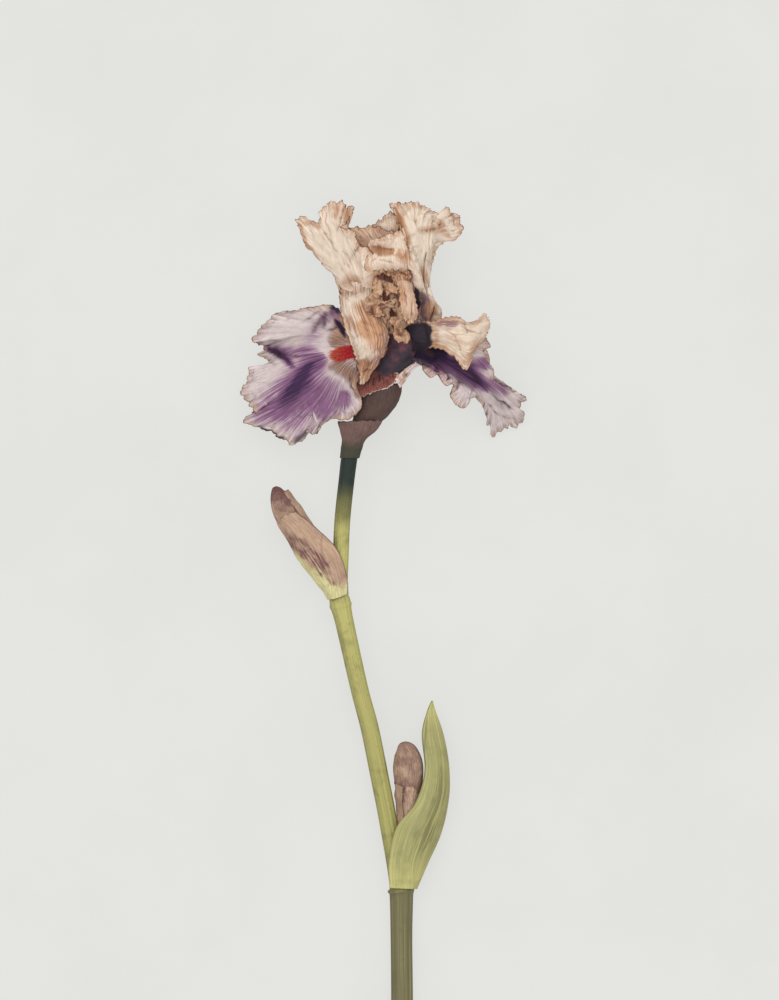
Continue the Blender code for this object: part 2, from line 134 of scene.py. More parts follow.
class IrisColours(PropertyGroup):
    """Colours of the flower's parts."""

    stem_low: colour("Stem, low", "The stem below the lower bract", 104, 99, 68)
    stem_high: colour("Stem, high", "The stem above the lower bract", 168, 163, 98)
    stem_dark: colour("Stem, dark", "The stem just below the spathe", 29, 41, 36)
    leaf: colour("Leaf", "The green bract", 150, 146, 96)
    leaf_pale: colour("Leaf, pale", "The foot and the tip of the green bract", 208, 202, 128)
    paper: colour("Paper", "The skin of the dry bract and of the buds", 182, 152, 128)
    paper_dark: colour("Paper, dark", "The streaks of the dry bract and of the buds", 106, 74, 72)
    paper_green: colour("Paper, green", "The living foot of the dry bract", 206, 199, 146)
    spathe: colour("Spathe", "The papery valves below the flower", 106, 82, 76)
    spathe_foot: colour("Spathe, foot", "The foot of the outer valve", 64, 64, 52)
    # The throat colour is mostly painted shade: the tube and the bases of the petals lie deep in shadow in
    # the flower's heart.
    throat: colour("Throat", "The dark heart of the flower", 58, 48, 58)
    throat_blush: colour("Throat, blush", "The red patches on the dark heart", 112, 62, 72)
    fall_pale: colour("Fall, pale", "The margins of the falls", 222, 206, 204)
    fall_purple: colour("Fall, purple", "The middle of the falls", 140, 96, 132)
    fall_deep: colour("Fall, deep", "The streak that runs out from the beard", 56, 34, 72)
    haft: colour("Haft", "The veined ground around the beard", 196, 160, 128)
    beard: colour("Beard", "The hairs of the beard", 196, 50, 60)
    beard_tip: colour("Beard, end", "The outermost hairs of the beard", 222, 140, 84)
    standard: colour("Standard", "The faces of the upright petals", 236, 219, 200)
    ochre: colour("Ochre", "The folds and rims of the upright petals", 198, 154, 120)
    crest_smooth: colour("Crest, smooth", "The smooth lobe in the middle of the crests", 216, 186, 164)
    crest: colour("Crest", "The crumpled crests of the style arms", 216, 180, 146)
    # crest_fold is painted shade in the crests' recesses, and the real colour of the left arm's lines.
    crest_fold: colour("Crest, folds", "The recesses of the crests, and the left arm's lines", 126, 74, 56)
    # petal_fold is the standards' vein colour, and, darkened, the painted shade in their valleys and
    # folds.
    petal_fold: colour("Standard, folds", "The folds of the upright petals", 168, 118, 86)
    mauve: colour("Mauve", "The shaded hollows between the petals", 134, 104, 118)
    # fall_fold is the falls' vein colour, and, darkened, the painted shade in their valleys and folds.
    fall_fold: colour("Fall, folds", "The folds and veins of the falls", 92, 54, 72)
    rim: colour("Rim", "The dried edge of every petal", 108, 68, 58)
    fringe: colour("Fringe", "The torn fringe below the flower's heart", 138, 82, 74)
    stamen: colour("Stamen", "The filaments and anthers", 206, 190, 160)


class StageSettings(PropertyGroup):
    """The surface, the light and the camera."""

    surface: colour("Surface", "The pale surface that the flower lies on", 206, 206, 203)
    glow: amount("Glow", "How much of the surface's brightness comes from lamps below it, up to 1", 0.84)
    glow_power: amount("Glow strength", "Strength of the lamps below the surface", 1.25)
    sky_strength: amount("Sky", "Strength of the light from all round", 0.81)
    window_power: amount("Window", "Strength of the broad light from above", 1.7)
    camera_height: length("Camera height", "Height of the camera above the surface", 8000.0)
    view_height: length("View height", "How much of the flower's length the camera takes in", 500.0)


# Shapes.

# How far in millimetres a cut in a ragged edge reaches into the petal.
NOTCH_REACH = 2.5


def wander(places, size, seed):
    """Smooth random values between -1 and 1 along a line, with bumps about that long."""
    table = np.random.default_rng(seed).uniform(-1, 1, 256)
    at = np.asarray(places, float) / size
    cell = np.floor(at).astype(int)
    t = at - cell
    t = t * t * (3 - 2 * t)
    return table[cell % 256] * (1 - t) + table[(cell + 1) % 256] * t


def ripple(places, size, seed):
    """An uneven wave along a line, between -1 and 1."""
    phase = 2 * math.pi * np.asarray(places) / size + 2.4 * wander(places, size * 2.2, seed)
    return np.sin(phase) * (0.62 + 0.38 * wander(places, size * 1.7, seed + 1))


def crumple(points, size, seed):
    """Smooth random values between -1 and 1 at points in space, with bumps about that large."""
    table = np.random.default_rng(seed).uniform(-1, 1, (16, 16, 16))
    at = np.asarray(points, float) / size
    cell = np.floor(at).astype(int)
    t = at - cell
    t = t * t * (3 - 2 * t)
    total = 0
    for corner in range(8):
        step = np.array((corner & 1, corner >> 1 & 1, corner >> 2 & 1))
        share = np.prod(np.where(step, t, 1 - t), axis=-1)
        x, y, z = np.moveaxis((cell + step) % 16, -1, 0)
        total = total + share * table[x, y, z]
    return total


def smooth(points, count):
    """Samples at even steps on a smooth curve that passes through the points, along the first axis."""
    points = np.asarray(points, float)
    before = 2 * points[0] - points[1]
    after = 2 * points[-1] - points[-2]
    padded = np.concatenate([before[None], points, after[None]])
    place = np.linspace(0, len(points) - 1, count)
    start = np.minimum(place.astype(int), len(points) - 2)
    t = (place - start).reshape(-1, *([1] * (points.ndim - 1)))
    a, b, c, d = (padded[start + k] for k in range(4))
    return 0.5 * (
        2 * b
        + (c - a) * t
        + (2 * a - 5 * b + 4 * c - d) * t**2
        + (3 * b - a - 3 * c + d) * t**3
    )


def sheet_through(rings, columns, rows):
    """A smooth sheet of points through rings of points from base to rim, which may differ in number."""
    lines = np.stack([smooth(ring, columns) for ring in rings])
    return smooth(lines, rows)


def unit(vectors):
    """Vectors of length 1 that point the same way."""
    return vectors / np.maximum(np.linalg.norm(vectors, axis=-1, keepdims=True), 1e-9)


def normals_of(points):
    """Unit normals of a sheet of points, turned so that they point up on the whole."""
    along, across = np.gradient(points, axis=(0, 1))
    normal = unit(np.cross(across, along))
    return normal if normal[..., 2].mean() > 0 else -normal


def running_length(line):
    """Distance along a line of points, from its first point."""
    steps = np.linalg.norm(np.diff(line, axis=0), axis=1)
    return np.concatenate([[0.0], np.cumsum(steps)])


def near_stroke(points, line, width):
    """How near each point lies to a line of (x, y) seen from above, 1 on it; both ends taper off."""
    line = np.asarray(line, float)
    along = running_length(line)
    best = np.zeros(points.shape[:-1])
    for a, b, start in zip(line[:-1], line[1:], along):
        way = b - a
        t = np.clip(((points[..., :2] - a) @ way) / (way @ way), 0, 1)
        gap = np.linalg.norm(points[..., :2] - a - t[..., None] * way, axis=-1)
        share = (start + t * np.linalg.norm(way)) / along[-1]
        body = np.clip(0.2 + 1.8 * np.sqrt(share * (1 - share)), 0, 1)
        best = np.maximum(best, body * np.exp(-((gap / (width * body)) ** 2)))
    return best


def painted(points, strokes):
    """How strongly strokes of (strength, width, line) cover each point, up to 1."""
    cover = np.zeros(points.shape[:-1])
    for strength, width, line in strokes:
        cover += strength * near_stroke(points, line, width)
    return np.clip(cover, 0, 1)


# Pieces.


def take_only(piece):
    """Selects one object and nothing else."""
    bpy.ops.object.select_all(action="DESELECT")
    piece.select_set(True)
    bpy.context.view_layer.objects.active = piece


def new_grid(name, columns, rows):
    """A grid with that many points each way, and the column and row of each point."""
    bpy.ops.object.select_all(action="DESELECT")
    bpy.ops.mesh.primitive_grid_add(x_subdivisions=columns - 1, y_subdivisions=rows - 1, size=2)
    piece = bpy.context.object
    piece.name = name
    piece.data.name = name
    places = np.empty(len(piece.data.vertices) * 3)
    piece.data.vertices.foreach_get("co", places)
    places = places.reshape(-1, 3)
    column = np.rint((places[:, 0] + 1) / 2 * (columns - 1)).astype(int)
    row = np.rint((places[:, 1] + 1) / 2 * (rows - 1)).astype(int)
    return piece, column, row


def place_points(piece, points):
    """Moves the points of a piece to their places in the drawing, in millimetres."""
    piece.data.vertices.foreach_set("co", (np.asarray(points) * MM + CUT_END).ravel())
    piece.data.update()


def store(piece, **values):
    """Keeps a value for each point of a piece, under its name, for the finishes."""
    for name, value in values.items():
        layer = piece.data.attributes.new(name, "FLOAT", "POINT")
        layer.data.foreach_set("value", np.asarray(value, np.float32).ravel())


def thicken(piece, thickness):
    """Gives a sheet its thickness, half on each side."""
    take_only(piece)
    solidify = piece.modifiers.new("thickness", "SOLIDIFY")
    solidify.thickness = thickness
    solidify.offset = 0.0
    bpy.ops.object.modifier_apply(modifier=solidify.name)


def close_up(piece):
    """Joins the points that meet at seams and poles, and turns the faces outwards."""
    take_only(piece)
    bpy.ops.object.mode_set(mode="EDIT")
    bpy.ops.mesh.select_all(action="SELECT")
    bpy.ops.mesh.remove_doubles(threshold=0.000002)
    bpy.ops.mesh.normals_make_consistent(inside=False)
    bpy.ops.object.mode_set(mode="OBJECT")


def hand_over(piece, nodes, finish):
    """Gives a finished piece its material and its place in the frame."""
    take_only(piece)
    bpy.ops.object.shade_smooth()
    piece.data.materials.clear()
    piece.data.materials.append(finish)
    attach(piece, "root")
    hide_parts(*nodes)


def rim_ruffles(fan, rim, free, sides, flanks, waves, seed):
    """Lift and shade of the ruffles that start at the rim and the sides and die away inwards."""
    lift, shade = np.zeros(rim.shape), np.zeros(rim.shape)
    for k, (height, size, depth) in enumerate(waves):
        wave = ripple(fan, size, seed + 7 * k) * np.exp(-((rim / depth) ** 1.4)) * np.sqrt(free)
        lift += height * wave
        shade += np.clip(-wave, 0, 1) ** 1.6 * min(0.34, height * 0.6)
        for run, gap, _ in sides:
            lift += flanks * height * ripple(run, size, seed + 5 * k) * np.exp(-gap / depth)
    return lift, shade


def ragged_cuts(fan, rim, free, sides, flanks, frills, seed):
    """How far the rim is cut back, and how far the sides are cut in across the sheet."""
    back, across = np.zeros(rim.shape), np.zeros(rim.shape)
    for k, (depth, size) in enumerate(frills):
        notch = 0.5 + 0.5 * ripple(fan, size, seed + 13 * k + 3)
        back += depth * notch * np.exp(-rim / NOTCH_REACH) * free
        for run, gap, way in sides:
            notch = 0.5 + 0.5 * ripple(run, size, seed + 19 * k + way + 1)
            across += flanks * way * depth * notch * np.exp(-gap / NOTCH_REACH)
    return back, across


def crumples(points, rumples, creases, seed):
    """Lift and shade of the bumps and the sharp valleys all over a sheet."""
    lift, shade = np.zeros(points.shape[:2]), np.zeros(points.shape[:2])
    for k, (height, size) in enumerate(rumples):
        bump = crumple(points, size, seed + 31 * k)
        lift += height * bump
        shade += np.clip(-bump, 0, 1) * min(0.4, height * 0.45)
    for k, (height, size) in enumerate(creases):
        shift = [crumple(points, size * 0.7, seed + k + n) for n in (50, 60, 70)]
        bent = points + size * 0.4 * np.stack(shift, axis=-1)
        crease = np.clip(1 - np.abs(crumple(bent, size, seed + 17 * k + 80)) * 4, 0, 1)
        crease *= np.clip(0.5 + crumple(points, size * 2.1, seed + 90 + k), 0, 1)
        lift -= height * crease
        shade += crease * min(0.75, 0.2 + 0.5 * height)
    return lift, shade


def folded(points, loose, folds, seed):
    """Lift and shade of the folds drawn on a sheet; loose are its points, a little out of place."""
    lift, shade = np.zeros(points.shape[:2]), np.zeros(points.shape[:2])
    patchy = 0.75 + 0.25 * crumple(points, 2.3, seed + 5)
    for width, depth, line in folds:
        groove = near_stroke(loose, line, width * 0.7)
        lift -= depth * 0.7 * groove
        shade += groove * patchy * min(0.9, 0.3 + 0.35 * depth)
    return lift, shade


def grow_sheet(
    name,
    rings,
    columns,
    rows,
    thickness,
    waves=(),
    frills=(),
    rumples=(),
    creases=(),
    strokes=None,
    calm=0.3,
    valley_shade=1.0,
    flanks=0.0,
):
    """A petal or bract, grown ring by ring from its base to its rim.

    waves are (height, size, reach) of ruffles that start at the rim and die away inwards, frills are
    (depth, size) of cuts into the rim, rumples and creases are (height, size) of bumps and of sharp
    valleys all over, and strokes name lines of colour: a stroke of "fold" also sinks into the petal and
    paints shade along its groove, and strokes of "dark" mostly paint shade into openings, hollows and
    under rims. The rim is smooth up to calm, as a share of the way from the base to the farthest point,
    worn is how dark the painted shade in the valleys is, and flanks is how ruffled the two sides are
    beside the rim.
    """
    sizes = bpy.context.scene.iris_sizes
    strokes = strokes or {}
    seed = sum(map(ord, name))
    points = sheet_through(rings, columns, rows)
    reach = np.broadcast_to(np.linspace(0, 1, rows)[:, None], points.shape[:2])
    fan = np.broadcast_to(max(map(running_length, points), key=max), reach.shape)
    edges = (points[-1:], points[:, :1], points[:, -1:])
    gaps = [np.linalg.norm(points - edge, axis=2) for edge in edges]
    rim = np.min(gaps, axis=0)
    sides = [
        (running_length(points[:, side])[:, None], gap, way)
        for side, gap, way in ((0, gaps[1], 1), (-1, gaps[2], -1))
    ]
    stretch = np.linalg.norm(points[-1] - points[0].mean(axis=0), axis=1)
    free = np.clip((stretch / stretch.max() - calm) / 0.3, 0.12, 1) * np.ones(reach.shape)
    loose = points[..., :2] + 0.6 * np.stack([crumple(points, 3.1, seed + k) for k in (3, 4)], axis=-1)

    ruffle, ruffle_shade = rim_ruffles(fan, rim, free, sides, flanks, waves, seed)
    bumps, bump_shade = crumples(points, rumples, creases, seed)
    sunk, fold_shade = folded(points, loose, strokes.get("fold", ()), seed)
    back, across = ragged_cuts(fan, rim, free, sides, flanks, frills, seed)
    lift = (ruffle + bumps) * sizes.ruffle + sunk
    outward, sideways = (unit(step) for step in np.gradient(points, axis=(0, 1)))
    shift = normals_of(points) * lift[..., None]
    shift += sizes.frill * (sideways * across[..., None] - outward * back[..., None])
    shaped = points + shift * np.clip(reach * 3, 0, 1)[..., None]

    # stain holds real stains and painted shade in hollows; dark holds painted shade in openings and under
    # rims.
    values = {key: painted(loose, strokes.get(key, ())) for key in ("stain", "warm", "dark", "pale")}
    # shade is painted shade: darker colour in the valleys of the ruffles, bumps, creases and folds.
    values["shade"] = np.clip((ruffle_shade + bump_shade + fold_shade) * valley_shade, 0, 1)
    piece, column, row = new_grid(name, columns, rows)
    place_points(piece, shaped[row, column])
    store(piece, fan=fan[row, column], reach=reach[row, column], rim=rim[row, column])
    store(piece, **{key: value[row, column] for key, value in values.items()})
    thicken(piece, thickness)
    return piece


def grow_tube(name, stations, rings, sides, shape=None):
    """A round piece through stations of (x, y, z, radius), closed at both ends.

    shape changes the radius, from the distance along the piece in millimetres and the angle round it.
    """
    line = smooth(stations, rings)
    way = unit(np.gradient(line[:, :3], axis=0))
    side = unit(np.cross(way, (0.0, 0.0, 1.0)))
    depth = np.cross(side, way)
    along = running_length(line[:, :3])
    angle = np.linspace(0, 2 * math.pi, sides + 1)
    radius = np.repeat(line[:, 3:], sides + 1, axis=1)
    if shape:
        radius = radius + shape(along[:, None], angle[None, :]) * np.ones_like(radius)
        radius[:, -1] = radius[:, 0]
    around = np.cos(angle)[None, :, None] * side[:, None] + np.sin(angle)[None, :, None] * depth[:, None]
    points = line[:, None, :3] + around * radius[..., None]
    ends = [np.repeat(line[[k], None, :3], sides + 1, axis=1) for k in (0, -1)]
    points = np.concatenate([ends[0], points, ends[1]])
    along = np.concatenate([along[:1], along, along[-1:]])
    piece, column, row = new_grid(name, sides + 1, rings + 2)
    place_points(piece, points[row, column])
    store(piece, along=along[row], near_end=along[row] / along[-1])
    store(piece, girth=np.cos(angle)[column], turn=np.sin(angle)[column])
    close_up(piece)
    return piece


def grow_funnel(name, stations, slant):
    """A bract rolled into a funnel through stations of (x, y, z, radius), with a slanted mouth."""
    angles = np.linspace(-math.pi / 2, 1.5 * math.pi, 25)
    overlap = np.linspace(0, 0.9, len(angles))
    rings = []
    for k, (x, y, z, radius) in enumerate(stations):
        lean = (k / (len(stations) - 1)) ** 2 * slant
        places = (
            x + radius * np.cos(angles),
            y + lean * np.cos(angles),
            z + (radius * 0.9 + overlap) * np.sin(angles),
        )
        rings.append(np.stack(places, axis=1))
    return grow_sheet(
        name,
        rings,
        180,
        48,
        bpy.context.scene.iris_sizes.bract_thickness,
        waves=((0.3, 7, 8),),
        frills=((0.8, 5),),
        rumples=((0.35, 5), (0.2, 2)),
    )


def comb_hairs(name, rings, span, width, count, seed):
    """A beard: hairs that stand along the middle of a fall's haft, made as copies of one small cone.

    span is the stretch of the fall that the beard takes up, as shares of the way from its base to its rim,
    and width is half the beard's width where it is widest, in steps of the fine grid.
    """
    sizes = bpy.context.scene.iris_sizes
    steps = 200
    middle = steps // 2
    points = sheet_through(rings, steps + 1, steps + 1)
    normal = normals_of(points)
    chance = np.random.default_rng(seed)
    share = chance.random(3 * count)
    share = share[chance.random(3 * count) ** 2 < 1 - share**2.2][:count]
    reach = span[0] + (span[1] - span[0]) * share
    across = middle + width * np.sqrt(1 - share**2.2) * chance.uniform(-1, 1, count)
    rows, columns = np.rint(reach * steps).astype(int), np.rint(across).astype(int)
    feet, up = points[rows, columns], normal[rows, columns]
    lean = chance.normal(0, 0.38, (count, 3))
    out = unit(points[np.minimum(rows + 4, steps), columns] - feet)
    way = unit(up + out * 0.55 + lean)
    side = unit(np.cross(way, (0.31, 0.87, 0.38)))
    size = sizes.hair_length / MM * (0.6 + 0.5 * chance.random(count))

    bpy.ops.object.select_all(action="DESELECT")
    bpy.ops.mesh.primitive_cone_add(vertices=4, radius1=1, radius2=0.35, depth=1, end_fill_type="TRIFAN")
    piece = bpy.context.object
    piece.name = piece.data.name = name
    cone = np.array([vertex.co[:] for vertex in piece.data.vertices])
    faces = [tuple(face.vertices) for face in piece.data.polygons]
    spots = (
        feet[:, None]
        + sizes.hair_radius / MM * cone[None, :, :1] * side[:, None]
        + sizes.hair_radius / MM * cone[None, :, 1:2] * np.cross(way, side)[:, None]
        + (cone[None, :, 2:] + 0.42) * (size[:, None] * way)[:, None]
    )
    copies = [tuple(v + k * len(cone) for v in face) for k in range(count) for face in faces]
    piece.data.clear_geometry()
    piece.data.from_pydata((spots.reshape(-1, 3) * MM + CUT_END).tolist(), [], copies)
    tone = np.clip(share * 1.6 - 1.1 + (np.abs(across - middle) / width) ** 7, 0, 1)
    # Hairs get darker towards their feet: painted shade deep in the beard.
    deep = np.clip(0.35 - cone[:, 2], 0, 1)
    store(piece, tone=np.repeat(tone, len(cone)), deep=np.tile(deep, count))
    return piece


# Finishes.

TORN_SKIN = linear(226, 218, 208)


class Wire:
    """An output of a node, on which sums can be written as on a number."""

    def __init__(self, finish, socket):
        self.finish = finish
        self.socket = socket

    def __add__(self, other):
        return self.finish.sum("ADD", self, other)

    def __sub__(self, other):
        return self.finish.sum("SUBTRACT", self, other)

    def __rsub__(self, other):
        return self.finish.sum("SUBTRACT", other, self)

    def __mul__(self, other):
        return self.finish.sum("MULTIPLY", self, other)

    def __truediv__(self, other):
        return self.finish.sum("DIVIDE", self, other)

    def __rtruediv__(self, other):
        return self.finish.sum("DIVIDE", other, self)

    def __abs__(self):
        return self.finish.sum("ABSOLUTE", self)

    __radd__ = __add__
    __rmul__ = __mul__

    def rise(self, low, high):
        """A smooth rise from 0 where the value is low to 1 where it is high."""
        settings = {"interpolation_type": "SMOOTHSTEP"}
        values = {"Value": self, "From Min": low, "From Max": high}
        return self.finish.node("ShaderNodeMapRange", settings, values, "Result")

    def fall(self, low, high):
        """A smooth fall from 1 where the value is low to 0 where it is high."""
        return 1 - self.rise(low, high)


class Finish:
    """A material under construction."""

    def __init__(self, name, roughness):
        self.material = bpy.data.materials.new(name)
        self.material.use_nodes = True
        self.tree = self.material.node_tree
        self.shader = self.tree.nodes["Principled BSDF"]
        self.shader.inputs["Roughness"].default_value = roughness
        self.shader.inputs["Specular IOR Level"].default_value = 0.25

    def node(self, kind, settings=None, values=None, output=0):
        """Adds a node with its settings and the values or wires of its sockets."""
        made = self.tree.nodes.new(kind)
        for key, value in (settings or {}).items():
            if key == "stops":
                self.set_stops(made.color_ramp, value)
            else:
                setattr(made, key, value)
        for key, value in (values or {}).items():
            self.feed(self.find(made.inputs, key), value)
        return Wire(self, self.find(made.outputs, output))

    @staticmethod
    def set_stops(ramp, stops):
        """Places the stops of a colour ramp."""
        while len(ramp.elements) < len(stops):
            ramp.elements.new(1.0)
        for element, (position, shade) in zip(ramp.elements, stops):
            element.position = position
            element.color = (*shade, 1.0)

    @staticmethod
    def find(sockets, key):
        """The socket with that index, identifier or name."""
        if isinstance(key, int):
            return sockets[key]
        named = [socket for socket in sockets if socket.identifier == key]
        return named[0] if named else sockets[key]

    def feed(self, socket, value):
        """Links a wire to a socket, or sets its value."""
        if isinstance(value, Wire):
            self.tree.links.new(value.socket, socket)
        elif isinstance(value, tuple) and len(value) == 3 and socket.type == "RGBA":
            socket.default_value = (*value, 1.0)
        else:
            socket.default_value = value

    def sum(self, operation, first, second=None):
        """A Math node."""
        values = {0: first}
        if second is not None:
            values[1] = second
        return self.node("ShaderNodeMath", {"operation": operation}, values)

    def value(self, name):
        """A value that is kept at the points of the piece."""
        return self.node("ShaderNodeAttribute", {"attribute_name": name}, None, "Fac")

    def place(self):
        """The place on the piece, in metres."""
        return self.node("ShaderNodeTexCoord", None, None, "Object")

    def join(self, x, y, z=0.0):
        """A vector from three values."""
        return self.node("ShaderNodeCombineXYZ", None, {0: x, 1: y, 2: z})

    def noise(self, at, scale, detail, roughness=0.55):
        """Soft random values around 0.5."""
        values = {"Vector": at, "Scale": scale, "Detail": detail, "Roughness": roughness}
        return self.node("ShaderNodeTexNoise", None, values)

    def mix(self, first, second, share):
        """A blend of two colours."""
        settings = {"data_type": "RGBA", "clamp_factor": True}
        values = {"Factor_Float": share, "A_Color": first, "B_Color": second}
        return self.node("ShaderNodeMix", settings, values, "Result_Color")

    def ramp(self, value, *stops):
        """A colour that changes with a value."""
        return self.node("ShaderNodeValToRGB", {"stops": stops}, {"Fac": value}, "Color")

    def lines(self, at, scale, width, detail=2.0):
        """Thin uneven lines, 1 along each line and 0 between them."""
        return abs(self.noise(at, scale, detail) - 0.5).fall(0.0, width)

    def glow(self, colour, strength):
        """Lets the surface shine in that colour."""
        self.feed(self.shader.inputs["Emission Color"], colour)
        self.shader.inputs["Emission Strength"].default_value = strength

    def finish(self, colour, height, relief, strength):
        """Feeds the shader, with bumps of that relief in metres, and gives the material."""
        self.feed(self.shader.inputs["Base Color"], colour)
        values = {"Height": height, "Distance": relief, "Strength": strength}
        self.feed(self.shader.inputs["Normal"], self.node("ShaderNodeBump", None, values, "Normal"))
        return self.material


def shaded(light, share):
    """A colour made darker, or lighter with a share above 1."""
    return tuple(value * share for value in light)


def petal_finish(name, face, stain, deep, warm, fold, rim):
    """A thin petal with veins that run out from its base, stains, warm folds, a dried edge and painted
    shade.
    """
    f = Finish(name, 0.75)
    fan, reach, edge = f.value("fan"), f.value("reach"), f.value("rim")
    cloud = f.noise(f.place(), 170.0, 5.0, 0.6)
    patch = f.noise(f.place(), 75.0, 5.0, 0.65)
    fine = f.lines(f.join(fan, reach * 9.0), 1.5, 0.07)
    coarse = f.lines(f.join(fan, reach * 5.0), 0.45, 0.045)
    wrinkles = f.lines(f.join(fan * 1.3, reach * 4.0), 0.62, 0.075, 4.0)
    streaks = f.noise(f.join(fan, reach * 4.0), 0.7, 6.0, 0.68)
    # stain is real stain on the falls, and painted shade in the hollows where it carries the mauve of the
    # standards, style arms and crests.
    depth = f.value("stain") + (streaks - 0.5) * 2.0 * f.value("stain").rise(0.0, 0.6)
    colour = f.mix(face, shaded(face, 0.85), streaks.rise(0.45, 0.7) * 0.5)
    colour = f.mix(colour, warm, patch.rise(0.52, 0.72) * 0.22)
    colour = f.mix(colour, stain, depth.rise(0.05, 0.5))
    colour = f.mix(colour, deep, depth.rise(0.45, 1.0))
    heat = f.value("warm") + (cloud - 0.5) * 0.7 * f.value("warm").rise(0.0, 0.3)
    colour = f.mix(colour, warm, heat.rise(0.08, 0.9))
    haft = f.lines(f.join(fan, reach * 3.0), 0.8, 0.12, 1.0) * f.value("warm").rise(0.1, 0.5)
    colour = f.mix(colour, fold, fine * 0.16 + coarse * 0.16 + haft * 0.6)
    # Dark lines along the wrinkles near the rim: painted shade in their creases.
    colour = f.mix(colour, fold, wrinkles * edge.fall(1.0, 8.0) * 0.6)
    # Painted shade: the valleys of ruffles, bumps, creases and folds darken towards the fold colour.
    hollow_shade = f.value("shade") + (cloud - 0.5) * 0.35
    colour = f.mix(colour, shaded(fold, 0.7), hollow_shade.rise(0.14, 1.1) * 0.95)
    dry = edge + (cloud - 0.5) * 3.0
    colour = f.mix(colour, warm, (dry + (patch - 0.5) * 9.0).fall(0.5, 4.5) * 0.5)
    colour = f.mix(colour, rim, dry.fall(0.0, 0.8) * 0.7 + edge.fall(0.12, 0.45) * 0.5)
    colour = f.mix(colour, TORN_SKIN, f.value("pale").rise(0.2, 0.6))
    # Painted shade: dark strokes darken the openings, hollows and the ground under rims.
    colour = f.mix(colour, shaded(deep, 0.5), f.value("dark").rise(0.1, 0.8))
    crinkle = f.noise(f.join(fan, reach * 22.0), 0.9, 5.0, 0.65)
    return f.finish(colour, crinkle + fine * 0.2 - wrinkles * 0.4 + cloud * 0.8, 0.0008, 0.6)


def leaf_finish(name, body, pale, dark):
    """A leafy bract with parallel veins and a pale foot and tip."""
    f = Finish(name, 0.55)
    fan, reach, edge = f.value("fan"), f.value("reach"), f.value("rim")
    veins = f.lines(f.join(fan, reach * 5.0), 0.7, 0.08)
    streaks = f.noise(f.join(fan, reach * 3.0), 0.35, 5.0, 0.65)
    cloud = f.noise(f.place(), 120.0, 5.0, 0.6)
    ends = reach.fall(0.0, 0.22) * 0.55 + reach.rise(0.7, 1.0)
    colour = f.mix(body, pale, ends * 0.8 + streaks.rise(0.45, 0.75) * 0.5)
    # Painted shade in the valleys of the bract, on top of its own mottling.
    colour = f.mix(colour, dark, cloud.rise(0.45, 0.7) * 0.3 + f.value("shade") * 0.5)
    colour = f.mix(colour, dark, veins * (0.18 + f.value("stain") * 0.75))
    colour = f.mix(colour, shaded(dark, 0.7), edge.fall(0.1, 0.6) * 0.6 + f.value("dark"))
    return f.finish(colour, veins * -0.4 + cloud, 0.0006, 0.4)


def paper_finish(name, body, dark, foot, foot_share):
    """Dry papery skin with dark streaks along it, and a living foot."""
    f = Finish(name, 0.8)
    fan, reach, edge = f.value("fan"), f.value("reach"), f.value("rim")
    streaks = f.noise(f.join(fan, reach * 4.0), 0.45, 6.0, 0.7)
    veins = f.lines(f.join(fan, reach * 5.0), 0.9, 0.07)
    cloud = f.noise(f.place(), 110.0, 5.0, 0.6)
    green = reach.fall(0.0, foot_share) * 0.9 + f.value("warm") + (cloud - 0.5) * 0.4
    colour = f.mix(body, shaded(body, 0.7), cloud.rise(0.4, 0.7) * 0.6)
    colour = f.mix(colour, foot, green.rise(0.1, 0.8))
    colour = f.mix(colour, dark, streaks.rise(0.5, 0.75) * 0.5 + veins * 0.3)
    grain = f.noise(f.join(fan, reach * 5.0), 1.3, 4.0, 0.65)
    # heavy is painted shade in the valleys, added to the real streaks of the stains.
    heavy = f.value("shade") + f.value("stain") * (grain * 5.0 - 1.9)
    colour = f.mix(colour, dark, heavy.rise(0.05, 0.9))
    colour = f.mix(colour, shaded(dark, 0.5), f.value("dark"))
    colour = f.mix(colour, shaded(dark, 0.7), edge.fall(0.1, 0.6) * 0.7)
    return f.finish(colour, streaks * 0.6 + veins * -0.3 + cloud, 0.0008, 0.5)


def bud_finish(name, body, dark, withered):
    """The crumpled skin of a withered bud, dark at its tip as much as it has withered."""
    f = Finish(name, 0.8)
    cloud = f.noise(f.place(), 110.0, 5.0, 0.65)
    around = f.join(f.value("girth") * 7.0, f.value("turn") * 7.0, f.value("along") * 0.1)
    veins = f.lines(around, 1.0, 0.06)
    colour = f.mix(body, shaded(body, 0.6), cloud.rise(0.42, 0.68) * 0.7)
    colour = f.mix(colour, dark, veins * 0.35)
    tip = f.value("near_end") + (cloud - 0.5) * 0.7
    band = tip.rise(0.52, 0.6) * tip.fall(0.6, 0.75)
    colour = f.mix(colour, dark, tip.rise(0.62, 1.0) * withered + band * 0.7)
    return f.finish(colour, cloud - veins * 0.3, 0.0012, 0.6)


